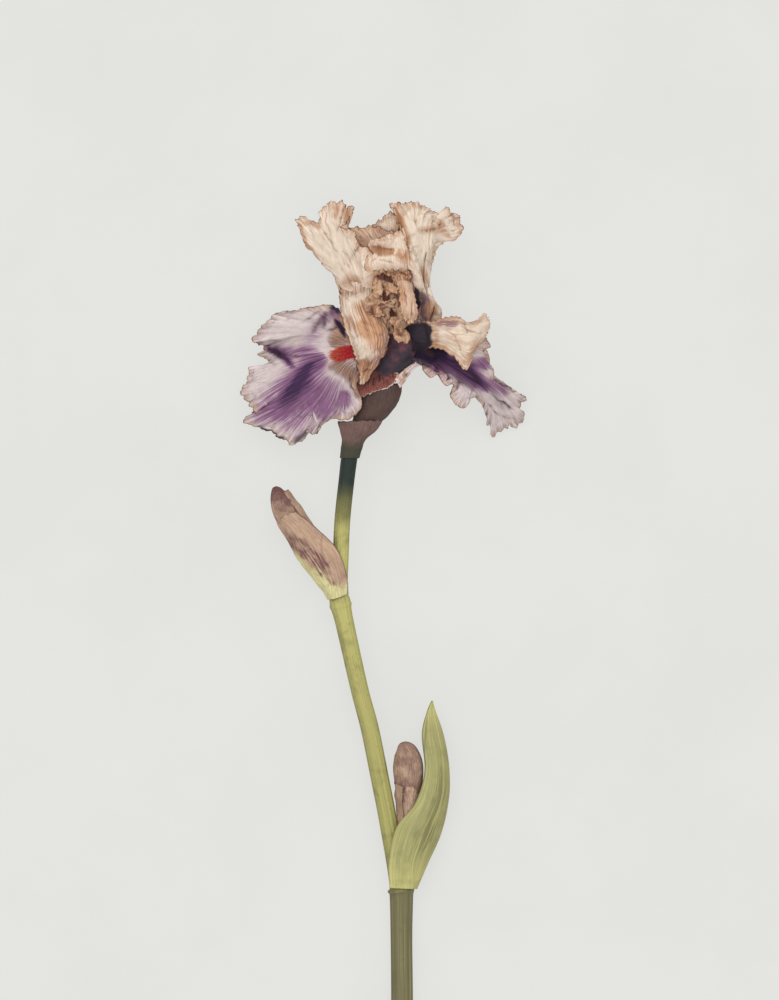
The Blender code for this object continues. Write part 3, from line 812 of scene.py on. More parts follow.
def stem_finish(name, low, high, dark):
    """The ribbed stem, which changes from olive to yellow green and turns dark below the flower."""
    f = Finish(name, 0.5)
    along = f.value("along")
    around = f.join(f.value("girth") * 9.0, f.value("turn") * 9.0, along * 0.012)
    ribs = f.noise(around, 1.0, 4.0, 0.6)
    cloud = f.noise(f.place(), 90.0, 5.0, 0.6)
    stops = (
        (0.0, low),
        (0.262, low),
        (0.285, shaded(high, 0.86)),
        (0.5, shaded(high, 0.9)),
        (0.78, shaded(high, 1.1)),
        (0.84, high),
        (0.87, shaded(high, 0.45)),
        (0.915, dark),
    )
    colour = f.ramp(along / STEM_LENGTH + (cloud - 0.5) * 0.03, *stops)
    colour = f.mix(colour, shaded(low, 0.5), ribs.rise(0.5, 0.75) * 0.4)
    light_part = along.fall(268.0, 290.0)
    colour = f.mix(colour, shaded(high, 1.35), ribs.fall(0.3, 0.46) * light_part * 0.25)
    flank = f.value("girth").fall(-1.0, -0.2) + f.value("girth").rise(0.75, 1.0) * 0.7
    dim = cloud.rise(0.5, 0.7) * 0.35 + flank * cloud * 0.7
    colour = f.mix(colour, shaded(low, 0.75), dim * light_part)
    spots = f.noise(f.place(), 420.0, 2.0).rise(0.66, 0.74)
    colour = f.mix(colour, shaded(low, 0.6), spots * 0.4)
    return f.finish(colour, ribs + cloud * 0.3, 0.0007, 0.5)


def plain_finish(name, body, spot, blush):
    """A living surface with soft mottling and a blush in broad patches."""
    f = Finish(name, 0.7)
    cloud = f.noise(f.place(), 160.0, 5.0, 0.6)
    patch = f.noise(f.place(), 70.0, 4.0, 0.6)
    colour = f.mix(f.mix(body, blush, patch.rise(0.42, 0.6)), spot, cloud.rise(0.4, 0.7))
    return f.finish(colour, cloud, 0.0008, 0.5)


def hair_finish(name, root, tip):
    """Hairs that differ a little in colour."""
    f = Finish(name, 0.8)
    tone = f.value("tone") + (f.noise(f.place(), 700.0, 2.0) - 0.5) * 0.5
    colour = f.mix(root, tip, tone)
    # Darker towards the foot of each hair: painted shade deep in the beard.
    return f.finish(f.mix(colour, shaded(root, 0.45), f.value("deep") * 0.7), tone, 0.0002, 0.2)


# Outlines, ring by ring from base to rim, as X, Y and height in millimetres.

FALL_LEFT = (
    ((-5, 356.5, 44), (-6, 355, 43), (-6.5, 353.5, 43), (-6, 351.5, 43), (-5, 350, 44)),
    ((-19, 358.5, 51), (-24, 359.5, 52), (-27, 357.5, 51.5), (-28.5, 353.5, 51), (-27.5, 349.5, 51.5),
     (-24.5, 347, 52), (-20, 347, 51)),
    ((-22, 362, 53), (-28, 366, 51), (-36, 366.5, 49), (-45, 363.5, 46), (-51, 357.5, 44),
     (-53, 349.5, 43.5), (-51.5, 340, 43.5), (-46.5, 332, 43), (-38, 328, 44), (-30, 330, 46),
     (-24.5, 336.5, 49), (-20.5, 343.5, 51)),
    ((-20, 357.5, 53), (-25, 364, 53.5), (-29.5, 370.5, 52), (-32, 375.5, 50), (-35, 377.5, 48),
     (-39, 378, 46.5), (-44, 377, 45), (-49, 376.5, 43), (-54.5, 375, 40), (-60, 374.5, 37),
     (-65, 373, 33), (-68.5, 369, 30), (-72, 366.5, 27), (-73.5, 363, 25), (-75.5, 358.5, 25),
     (-70.5, 356.5, 17), (-72, 353, 14), (-68, 350, 17), (-70.5, 346, 14), (-69, 342.5, 16),
     (-73.5, 344, 18), (-76.5, 345.5, 19), (-78, 342, 20), (-79.5, 337.5, 20), (-81, 334.5, 19),
     (-79.5, 330.5, 19), (-76.5, 326.5, 22), (-74, 325, 23), (-76, 322.5, 18), (-79.5, 320, 17),
     (-76.5, 317, 20), (-71, 315.5, 23), (-66, 313.5, 25), (-61.5, 310.5, 26), (-55.5, 307.5, 27),
     (-50, 309, 29), (-47, 313.5, 33), (-45, 312, 32), (-42, 316, 36), (-38.5, 318.5, 38),
     (-34.5, 320, 40), (-30, 319.5, 41), (-26, 320, 42), (-22.5, 322.5, 43), (-20, 327, 44),
     (-20.5, 331, 46), (-23, 334.5, 47), (-22, 339, 49), (-19, 343.5, 51), (-16.5, 347.5, 51.5)),
)
FALL_RIGHT = (
    ((1.5, 356.5, 43), (2.5, 355, 42.5), (3, 353.5, 42.5), (2.5, 351.5, 43), (1, 350, 44)),
    ((4, 357.5, 47), (8.5, 357.5, 48.5), (12, 355.5, 49), (12.5, 353, 48.5), (10, 350.5, 49),
     (5.5, 350, 48)),
    ((7, 358.5, 48), (15, 361.5, 51), (23, 362, 52), (29, 359.5, 50), (33, 355, 48), (35.5, 350, 46),
     (38, 345.5, 43), (41.5, 340, 37), (44, 335, 30), (43.5, 330.5, 26), (41, 330.5, 28), (37, 334, 34),
     (32.5, 336, 39), (27.5, 338.5, 43), (22, 343, 47), (16, 346.5, 49), (8, 350, 49)),
    ((6, 359, 48), (11.5, 362, 51), (19, 364.5, 52), (26.5, 366, 51), (33, 366, 49), (38, 364.5, 47),
     (42.5, 361.5, 45), (44.5, 356.5, 43), (41, 354.5, 44.5), (44, 352.5, 42), (44, 348.5, 40),
     (46.5, 344.5, 37), (46, 340, 35), (50, 337.5, 30), (55, 335.5, 24), (59, 333, 18), (63, 330.5, 12),
     (59.5, 325.5, 10), (61.5, 322, 7), (60.5, 319, 5), (57.5, 315.5, 3), (54.5, 317.5, 6),
     (52.5, 315, 4), (49, 314, 3.5), (45.5, 312, 3), (44, 316.5, 8), (42.5, 321, 14), (41, 326, 22),
     (38.5, 329, 28), (35, 331, 33), (32.5, 328.5, 33), (31, 325, 32), (27, 327.5, 35), (24, 332, 39),
     (25.5, 337.5, 43), (22, 337, 45), (19.5, 339.5, 46), (17.5, 342.5, 48), (14, 341, 48),
     (10.5, 344.5, 49), (9.5, 347.5, 50), (5.5, 349.5, 48)),
)
FALL_BACK = (
    ((-5.5, 356.5, 34.5), (-6, 354, 34), (-5.5, 351, 34.5)),
    ((-20, 358.5, 22), (-22, 354, 20), (-20, 349, 22)),
    ((-28.5, 367.5, 13), (-38.5, 362.5, 9), (-42, 351, 8), (-38.5, 340, 9), (-28.5, 336, 12)),
    ((-25, 365, 20), (-31, 372.5, 14), (-40, 377, 9), (-49, 376, 5), (-57, 369, 2.5), (-61, 359, 2),
     (-61.5, 349, 1.5), (-59.5, 339, 2), (-55, 331, 3), (-45, 325, 6), (-34, 326, 10), (-26, 332, 15),
     (-23, 340, 20)),
)
STANDARD_LEFT = (
    ((-9, 357.5, 41.5), (-7, 359, 41), (-5, 359.5, 41.5)),
    ((-13, 364.5, 44), (-13, 367, 45.5), (-11.5, 368.5, 46), (-9, 368, 45.5), (-7, 366, 44)),
    ((-18, 371, 44), (-25, 380.5, 46), (-28, 388, 47.5), (-31.5, 396, 46), (-34, 402.5, 44),
     (-34, 407, 44), (-31, 409, 46), (-27.5, 408.5, 48), (-24.5, 405, 49.5), (-21.5, 400, 50),
     (-19.5, 393.5, 50), (-18, 386, 49), (-14, 377, 47)),
    ((-15, 365, 43), (-21, 371, 44), (-26, 376.5, 44), (-30.5, 382, 43.5), (-32.5, 388, 42.5),
     (-34.5, 392.5, 41.5), (-39.5, 397.5, 39.5), (-45, 404.5, 36.5), (-50, 410, 33.5),
     (-51.5, 415.5, 31), (-53.5, 420, 29), (-49.5, 423, 32), (-46, 420.5, 33), (-42.5, 419.5, 37),
     (-41, 424, 35), (-40, 427, 36), (-36, 430, 38), (-33, 429.5, 39.5), (-29.5, 430.5, 39),
     (-28, 427, 41.5), (-25, 428, 38), (-24, 425.5, 40), (-26, 422, 44), (-30, 417.5, 50.5),
     (-26.5, 416, 50.5), (-23.5, 414.5, 51), (-22.5, 411, 51), (-20.5, 407.5, 51), (-17.5, 407, 51),
     (-15.5, 405, 51), (-13.5, 402, 51), (-11.5, 398.5, 51), (-13, 394.5, 50.5), (-14, 389, 49.5),
     (-14, 381.5, 48.5), (-11, 373, 46.5), (-6.5, 365.5, 43.5)),
)
STANDARD_RIGHT = (
    ((-1.5, 358.5, 41.5), (0, 359, 41), (1.5, 357.5, 41.5)),
    ((5, 361.5, 44), (8, 364, 45.5), (10.5, 366, 46), (12.5, 365.5, 45.5), (11, 362, 44)),
    ((12.5, 369, 47), (13.5, 376, 50), (12, 383, 51.8), (9.5, 391, 52.3), (7, 400, 52), (6.5, 407, 52),
     (7.5, 413, 51), (10, 416, 49.5), (13.5, 415.5, 47.5), (15.5, 412.5, 46), (15, 408, 46.5),
     (13, 403, 48.5), (11.5, 397, 50.2), (11.5, 390, 50.8), (14, 382, 50.5), (16, 376, 49.5)),
    ((5.5, 363, 43), (6, 370, 45), (7, 376, 47), (6, 381, 49), (5.5, 385.5, 50.5), (4.5, 391.5, 51.8),
     (2.5, 397.5, 52), (3.5, 404.5, 52.5), (2, 408, 52.5), (0.5, 412, 52.5), (-1, 417, 52.5),
     (-2.5, 421.5, 51.5), (-5, 425.5, 50.5), (-6.5, 428, 49), (-3.5, 429.5, 48), (0.5, 429, 49),
     (4.5, 430, 46.5), (9, 429, 45), (12.5, 427, 46), (16, 425, 42), (19, 422, 40), (19, 418.5, 43),
     (20, 424.5, 38), (22.5, 427.5, 35.5), (25.5, 424.5, 36), (29, 423, 33), (30, 419.5, 32),
     (31, 415.5, 31), (29, 412, 34), (25, 410.5, 36.5), (21, 409.5, 39), (18.5, 406.5, 41),
     (16.5, 402.5, 43.5), (15.5, 397.5, 45.5), (14, 392.5, 46.5), (13.5, 388, 47), (14.5, 383, 46.5),
     (17.5, 378, 46), (20.5, 373.5, 45), (18.5, 368, 44.5), (12.5, 363, 43)),
)
STANDARD_BACK = (
    ((-6, 358.5, 36.5), (-4.5, 359, 35.5), (-3, 358.5, 36.5)),
    ((-14, 367.5, 28), (-10, 371, 24), (-4.5, 372, 23), (1, 371, 24), (4.5, 367.5, 28)),
    ((-26, 388, 33), (-19, 391, 30), (-10, 392, 29), (-1, 391, 30), (5, 388, 32)),
    ((-26, 399, 40), (-20, 404, 42.5), (-14, 406, 42.5), (-8, 406, 42.5), (-2, 405, 42), (3, 400, 41)),
    ((-15, 366, 33), (-22, 376, 32), (-27, 386, 33), (-28, 396, 36), (-29, 406, 39), (-30, 413, 42),
     (-29, 417, 44), (-26, 416.5, 44.5), (-23, 417.5, 44), (-20, 416.5, 44.5), (-17, 418, 44),
     (-14, 417, 44.5), (-11, 417.5, 44), (-8, 415.5, 44.5), (-5, 415.5, 44), (-2.5, 413, 44),
     (0.5, 407, 42), (4, 399, 38), (7, 388, 34), (7, 377, 32), (4, 367, 33)),
)
BACK_FOLD = (
    ((-11, 385, 46), (-5, 385.5, 46), (2, 385, 46)),
    ((-18, 395, 50), (-9, 395, 51.5), (-1.5, 395, 51.5), (6.5, 395, 50)),
    ((-18, 400, 50.5), (-10, 401, 52.4), (-2, 401, 52.4), (6.5, 401, 50.5)),
    ((-17, 405, 49.5), (-9.5, 404.2, 49.5), (-2.5, 404, 49.8), (6, 406.5, 50)),
    ((-16.5, 408, 50.5), (-9.5, 408.5, 52), (-3, 410, 52.4), (4.5, 413, 50)),
    ((-15, 410.5, 49.5), (-9, 412.5, 51), (-4, 414.5, 51), (2.5, 418.5, 49.5)),
)
BACK_LOBE = (
    ((-12, 408, 39), (-7, 408.5, 39), (-1.5, 408.5, 39)),
    ((-16, 415.5, 42), (-8, 416.5, 43), (-1, 416, 43)),
    ((-17.5, 415, 42), (-15.5, 417, 43), (-13.5, 419, 43.5), (-11.5, 420.5, 44), (-9.5, 422.2, 44),
     (-7.5, 424, 44), (-5.5, 424.8, 44), (-3.5, 423.5, 44), (-1.5, 421.5, 44), (0, 418, 43)),
)
STYLE_ARM_LEFT = (
    ((-8, 358.5, 45), (-7, 358, 45.5), (-6, 357.5, 46), (-5.5, 356.5, 46), (-5, 355, 45)),
    ((-16, 369, 47), (-13.5, 368.5, 48), (-11.5, 368, 48), (-9.5, 367, 48), (-8, 365, 47)),
    ((-25.5, 381, 44), (-22.5, 381.5, 45), (-20, 381.5, 45), (-17.5, 381.5, 45), (-14.5, 380.5, 45)),
    ((-28.5, 389.5, 41.5), (-25, 390.5, 42.5), (-21.5, 391, 43.5), (-18, 391, 44), (-15, 389.5, 43.5)),
    ((-30.5, 392, 41.5), (-26.5, 394, 42.5), (-22.5, 395, 43.5), (-18, 395, 44.5), (-14, 393.5, 45.5)),
    ((-31.8, 384.5, 44.6), (-27.5, 385.5, 46), (-23, 386.5, 47), (-18, 387.5, 47.6), (-14, 388.5, 48.4)),
    ((-31.5, 377, 50), (-27.5, 377.5, 54), (-22.5, 378, 56), (-17.5, 378.5, 56), (-12.5, 378.5, 54)),
    ((-30, 369, 52), (-25, 369, 57), (-19.5, 369.5, 59), (-14, 370, 59), (-8, 369, 56)),
    ((-27.5, 361, 52.5), (-22.5, 361.5, 58), (-17, 362, 61), (-11.5, 362.5, 61), (-5.5, 363, 57)),
    ((-25, 354, 53), (-20.5, 354, 58), (-16, 354.5, 61), (-11.5, 355.5, 61), (-6.5, 356.5, 57)),
    ((-23, 348, 54), (-19.5, 348, 57), (-16, 348.5, 59), (-12.5, 349.5, 59), (-9, 350.5, 56)),
    ((-22.5, 342, 53), (-20.5, 342, 55), (-18.5, 342.5, 56), (-16, 343, 56.5), (-14, 344.5, 55)),
    ((-21.5, 338, 52), (-20.5, 337, 52.5), (-19.5, 337, 53), (-18.5, 338, 53), (-17.5, 339.5, 53)),
)
STYLE_ARM_RIGHT = (
    ((-0.5, 363.5, 45), (0, 361, 45.5), (0.5, 358.5, 46), (0.5, 356.5, 45.5), (0.5, 355, 45)),
    ((4.5, 370, 49), (6, 366.5, 49.5), (7, 362.5, 50), (8, 359, 49.5), (8.5, 355.5, 48.5)),
    ((10.5, 370.5, 51.5), (11.5, 366.5, 52.5), (12.5, 362.5, 53), (12.5, 358.5, 52.5), (12, 355, 51)),
    ((15.5, 370, 55), (15, 366.5, 58), (14.8, 363, 59), (15, 359.5, 58.5), (15.5, 355, 55.5)),
    ((20.5, 371.5, 58), (21, 367.5, 61), (21.5, 363.5, 62), (21.5, 359.5, 60), (20.5, 354, 56)),
    ((28.5, 371.5, 57), (29, 367, 61), (29.5, 362, 62), (29, 356, 60), (27, 349, 56)),
    ((34, 369, 54), (35, 366, 58), (35.5, 361.5, 60), (34, 354.5, 58), (31.5, 344, 54)),
    ((38.5, 371.5, 52), (40, 369, 56), (40.5, 365.5, 57), (39, 361, 56), (34.5, 351.5, 54)),
    ((41.5, 374.5, 50), (43.5, 372, 53), (44.5, 369, 54), (44.5, 366, 54), (41, 361.5, 53)),
)
STYLE_ARM_BACK = (
    ((-5.5, 358, 46), (-4.5, 358.5, 46.5), (-3.5, 358, 46)),
    ((-11, 369, 48), (-4.5, 370, 46), (1, 369, 48)),
    ((-15, 381, 48), (-6.5, 381, 44), (3, 381, 48)),
    ((-16, 390, 49), (-7, 390, 45), (4, 390, 50)),
    ((-15, 389, 50), (-8, 390, 51), (4, 389, 51)),
    ((-12.5, 391.5, 51), (-6, 392.5, 52), (1.5, 391.5, 51.5)),
)
CREST_MASS = (
    ((-8, 363.5, 50), (-4, 363, 50), (0, 364.5, 52)),
    ((-15, 370, 55), (-10, 370.5, 56), (-5, 371, 51), (0, 371, 58), (6, 370, 54)),
    ((-18, 378, 54), (-12, 378, 58), (-6, 378, 55), (0.5, 378.5, 60), (5.5, 377, 55)),
    ((-16, 385, 53), (-11, 385, 57), (-6, 385, 53), (0, 385.5, 60.5), (4, 384.5, 55)),
    ((-15.5, 389, 54), (-10.5, 389.5, 54), (-5.5, 389.5, 54), (0.5, 390, 59), (5, 389.5, 55)),
    ((-15, 392.5, 55), (-10.5, 393.5, 56.5), (-5.5, 394, 57), (0, 394.5, 58), (4, 393.5, 55.5)),
    ((-14.5, 394, 54), (-10.5, 395.5, 55.5), (-5.5, 396.2, 56), (0, 396.5, 56.5), (3.2, 395.5, 54.5)),
)
CREST_LOBE = (
    ((-3, 389, 58), (1, 389.5, 60), (5, 388, 56)),
    ((-2.5, 384, 60), (2, 384.5, 62), (6.5, 383.5, 58)),
    ((-2, 378.5, 61), (3, 379, 63.5), (8, 377.5, 59)),
    ((-1, 373.5, 61), (3.5, 374, 64), (8.5, 372.5, 59)),
    ((0, 369.5, 60), (2, 367.5, 61), (4.5, 366.5, 62), (6.5, 368, 60), (8, 368.5, 58)),
)
CREST_HANGING = (
    ((-6, 371, 58), (-4, 371.5, 61), (-1.5, 370.5, 60)),
    ((-5.5, 367, 60), (-3, 368, 63), (0, 367, 61)),
    ((-4, 362.5, 61), (-0.5, 364, 64.5), (3, 363, 61)),
    ((-3, 360, 60), (-1, 357.5, 61), (1.5, 356.5, 62), (4, 358.5, 61), (6, 360.5, 59)),
)
CREST_ROLL = (
    ((-13, 378.5, 59), (-9.5, 378, 60.5), (-7, 376, 59)),
    ((-18.5, 377.5, 58), (-14, 377, 61.5), (-9, 375, 62)),
    ((-19, 374.5, 57.5), (-14, 373.5, 62), (-8, 373, 62)),
    ((-15, 370, 57), (-11, 370, 61), (-6, 371.5, 61)),
)
CREST_CURL = (
    ((-9.5, 387, 55), (-7, 388.5, 58), (-4, 387.5, 57)),
    ((-8.5, 385, 59), (-6, 386, 62), (-3, 384.5, 60)),
    ((-6.5, 381.5, 58), (-4.5, 382, 62), (-2, 380.5, 60)),
)
CREST_CURL_LOW = (
    ((-15, 382, 56), (-13, 383, 59), (-11, 382, 57)),
    ((-14.5, 380, 59), (-12, 380.5, 61), (-10, 379.5, 59)),
    ((-12, 375.5, 59), (-8.5, 377, 62), (-5, 376, 60)),
)
FRINGE = (
    ((-20, 342, 44), (-13.5, 344.5, 44.5), (-8, 345.5, 44.5), (-4, 348.5, 44.5)),
    ((-24, 337, 45), (-16.5, 338.5, 46), (-9, 340, 46), (-3, 344, 45.5)),
    ((-25, 329.5, 43.5), (-22.5, 330, 44), (-20, 331, 44.5), (-17, 332, 45), (-13.5, 333.5, 45.5),
     (-10.5, 334.5, 45.5), (-7.5, 335.2, 45.5), (-5.5, 336.5, 45.5), (-4, 337.5, 45.5),
     (-2.5, 340, 45.5), (-1, 343.5, 45)),
)
TORN_SCRAP = (
    ((-3.5, 340.5, 46.5), (-1, 336, 45)),
    ((-0.5, 343.5, 47), (1, 338.5, 46)),
    ((2.5, 346, 47), (3.5, 342.5, 46.5)),
    ((6.5, 348.2, 46.5), (7, 346.2, 46.5)),
    ((11, 349.2, 46), (11.5, 348, 46)),
)
STEM = (
    (0, 0, 5.5),
    (0, 30, 5.4),
    (-0.3, 60, 5.4),
    (-0.3, 80, 5.8),
    (-0.5, 84.5, 6.2),
    (-1.2, 88, 5.2),
    (-3.3, 100, 4.8),
    (-5.6, 111.5, 4.5),
    (-8.2, 126, 4.5),
    (-10.6, 138, 4.5),
    (-16, 165, 4.5),
    (-21.2, 185, 4.4),
    (-28.6, 218, 4.6),
    (-31, 229, 5.2),
    (-31.4, 235, 4.2),
    (-30.7, 250, 3.9),
    (-29.8, 270, 3.9),
    (-27.7, 290, 3.9),
    (-26, 303, 4.0),
    (-23.5, 313, 3.4),
)
STAMENS = {
    "left": (
        (-9, 350.8, 44.3, 0.8),
        (-13, 353, 48, 0.8),
        (-17, 356, 50.5, 1.0),
        (-20, 358, 51.5, 1.3),
        (-23, 360, 52, 0.5),
    ),
    "right": (
        (0, 353, 44.3, 0.8),
        (4, 359, 47, 0.8),
        (9, 363, 49, 1.0),
        (13, 364, 50.5, 1.3),
        (17, 364, 52, 0.5),
    ),
    "back": (
        (-10.8, 353.2, 36.2, 0.8),
        (-15, 353, 33.5, 0.8),
        (-20.5, 352.6, 30, 1.0),
        (-24, 352.3, 27.8, 1.3),
        (-27.5, 352, 25.5, 0.5),
    ),
}

LOWER_BRACT = (
    ((-3, 86.5, 5.6), (5, 85, 6.6), (7.4, 85, 12.6), (4, 85, 18.8), (-6.2, 85.5, 18.6)),
    ((-5, 98.5, 5.4), (5, 98.5, 4.8), (13.2, 98.5, 13), (4, 98.5, 21.6), (-6.6, 98.5, 19.8)),
    ((-2, 114.5, 5), (9, 113.5, 4.2), (19.4, 112.5, 13.5), (9, 113.5, 22.8), (-3, 115.5, 21.6)),
    ((7, 128.5, 5.6), (16, 128.5, 5.8), (23.1, 128.5, 14), (16, 128.5, 22.2), (6.8, 128.6, 22.8)),
    ((12, 144.5, 6.6), (18, 145.5, 8), (23.5, 145.5, 14), (18.4, 145.5, 20), (11.4, 144.5, 21.6)),
    ((11, 161.5, 10), (16, 162.5, 10.6), (20.8, 161.5, 13.6), (16, 162.5, 16.8), (10, 162.5, 17.6)),
    ((13.4, 173, 11.8), (14.8, 173.1, 12), (16.8, 173, 13), (14.8, 173.1, 14.4), (12.5, 173.5, 14.6)),
    ((15, 179.1, 12.8), (15.1, 179.1, 12.9), (15.2, 179.1, 13), (15.1, 179.1, 13.1), (15, 179.1, 13.2)),
)
LOWER_SHEATH = (
    ((2.8, 107, 8.4), (-0.4, 107, 13.4), (2.8, 107, 18.4)),
    ((0.8, 120, 7.6), (-2.4, 120, 13.6), (0.8, 120, 19.6)),
    ((0.4, 133, 6.8), (-3.4, 133, 13.8), (0.4, 133, 20.6)),
    ((1.6, 142, 5.8), (-4, 139, 13.8), (1, 137, 21.8)),
)
LOWER_BUD = (
    (4.8, 99.9, 13.2, 2.4),
    (4.6, 110.4, 13.4, 3.8),
    (3.2, 122.4, 13.8, 5.4),
    (3.7, 134.4, 14, 6.6),
    (3.6, 145.9, 14.2, 7.6),
    (2.2, 153.4, 14.2, 6),
    (0.8, 157.4, 14.2, 3),
    (0.4, 158.6, 14.2, 0.8),
)
UPPER_BRACT = (
    ((-26.8, 232.8, 18.6), (-33.2, 230.7, 17.6), (-37.1, 230.2, 24),
     (-33.2, 230.7, 30.4), (-27.2, 233.2, 29.4)),
    ((-28.2, 243.2, 18.4), (-35.2, 239.2, 16), (-41.4, 237, 23.8),
     (-35.8, 239.2, 31.6), (-27.6, 242.2, 30.2)),
    ((-35.2, 255.2, 17.4), (-42.2, 251.2, 13.8), (-50.8, 248, 23),
     (-43.2, 251.2, 32), (-32.4, 255.2, 30.8)),
    ((-44.2, 267.2, 15.4), (-50.2, 263.2, 13.2), (-57.7, 260.4, 22.2),
     (-51.2, 263.2, 30.6), (-43.2, 266.2, 30.8)),
    ((-54.2, 275.2, 14.8), (-60.2, 272.7, 17), (-63.1, 269.2, 21.8),
     (-59.2, 272.7, 27.4), (-53.6, 274.7, 29)),
)
UPPER_SHEATH = (
    ((-43, 258.4, 17.2), (-40.4, 260, 22.6), (-43, 258.4, 27.8)),
    ((-48, 267.2, 16.4), (-45.4, 268.8, 22.2), (-48, 267.2, 27.8)),
    ((-53.6, 275.6, 16), (-51, 277.2, 21.8), (-53.6, 275.6, 27.2)),
    ((-59.6, 284.4, 17.6), (-57.6, 285.4, 21.6), (-59.6, 284.4, 25.4)),
)
UPPER_BUD = (
    (-39.2, 239.8, 24, 2.2),
    (-42.4, 246.8, 23.4, 4.6),
    (-47.4, 255.8, 22.4, 5.9),
    (-52.6, 264.8, 22, 6.3),
    (-57.6, 273.8, 21.6, 6.4),
    (-61, 280.8, 21.4, 4.8),
    (-63, 285.4, 21.4, 2.4),
    (-63.4, 286.8, 21.4, 0.6),
)
SPATHE_OUTER = (
    (-26.2, 301, 29.7, 4.6),
    (-25.2, 306, 30.1, 5.2),
    (-23.8, 310.5, 30.6, 6.2),
    (-21.7, 315, 31, 9.3),
    (-20.7, 320, 31.5, 11.4),
)
SPATHE_INNER = (
    (-22.2, 314.4, 31.4, 5.1),
    (-17.2, 319.6, 32.2, 7.4),
    (-13.4, 325.5, 33.2, 9.7),
    (-11.2, 330.5, 34, 10.3),
    (-10.4, 335.8, 34.8, 10.1),
)
THROAT = (
    (-22.9, 314.4, 31.1, 2.9),
    (-15.5, 327, 33.8, 4.2),
    (-12, 335.5, 35.8, 5.6),
    (-9.6, 343, 37.8, 7.4),
    (-5.4, 350, 40, 9.4),
    (-1, 357, 42, 10.6),
    (0.5, 363, 43, 8.4),
    (1.5, 367.5, 44, 2.5),
)

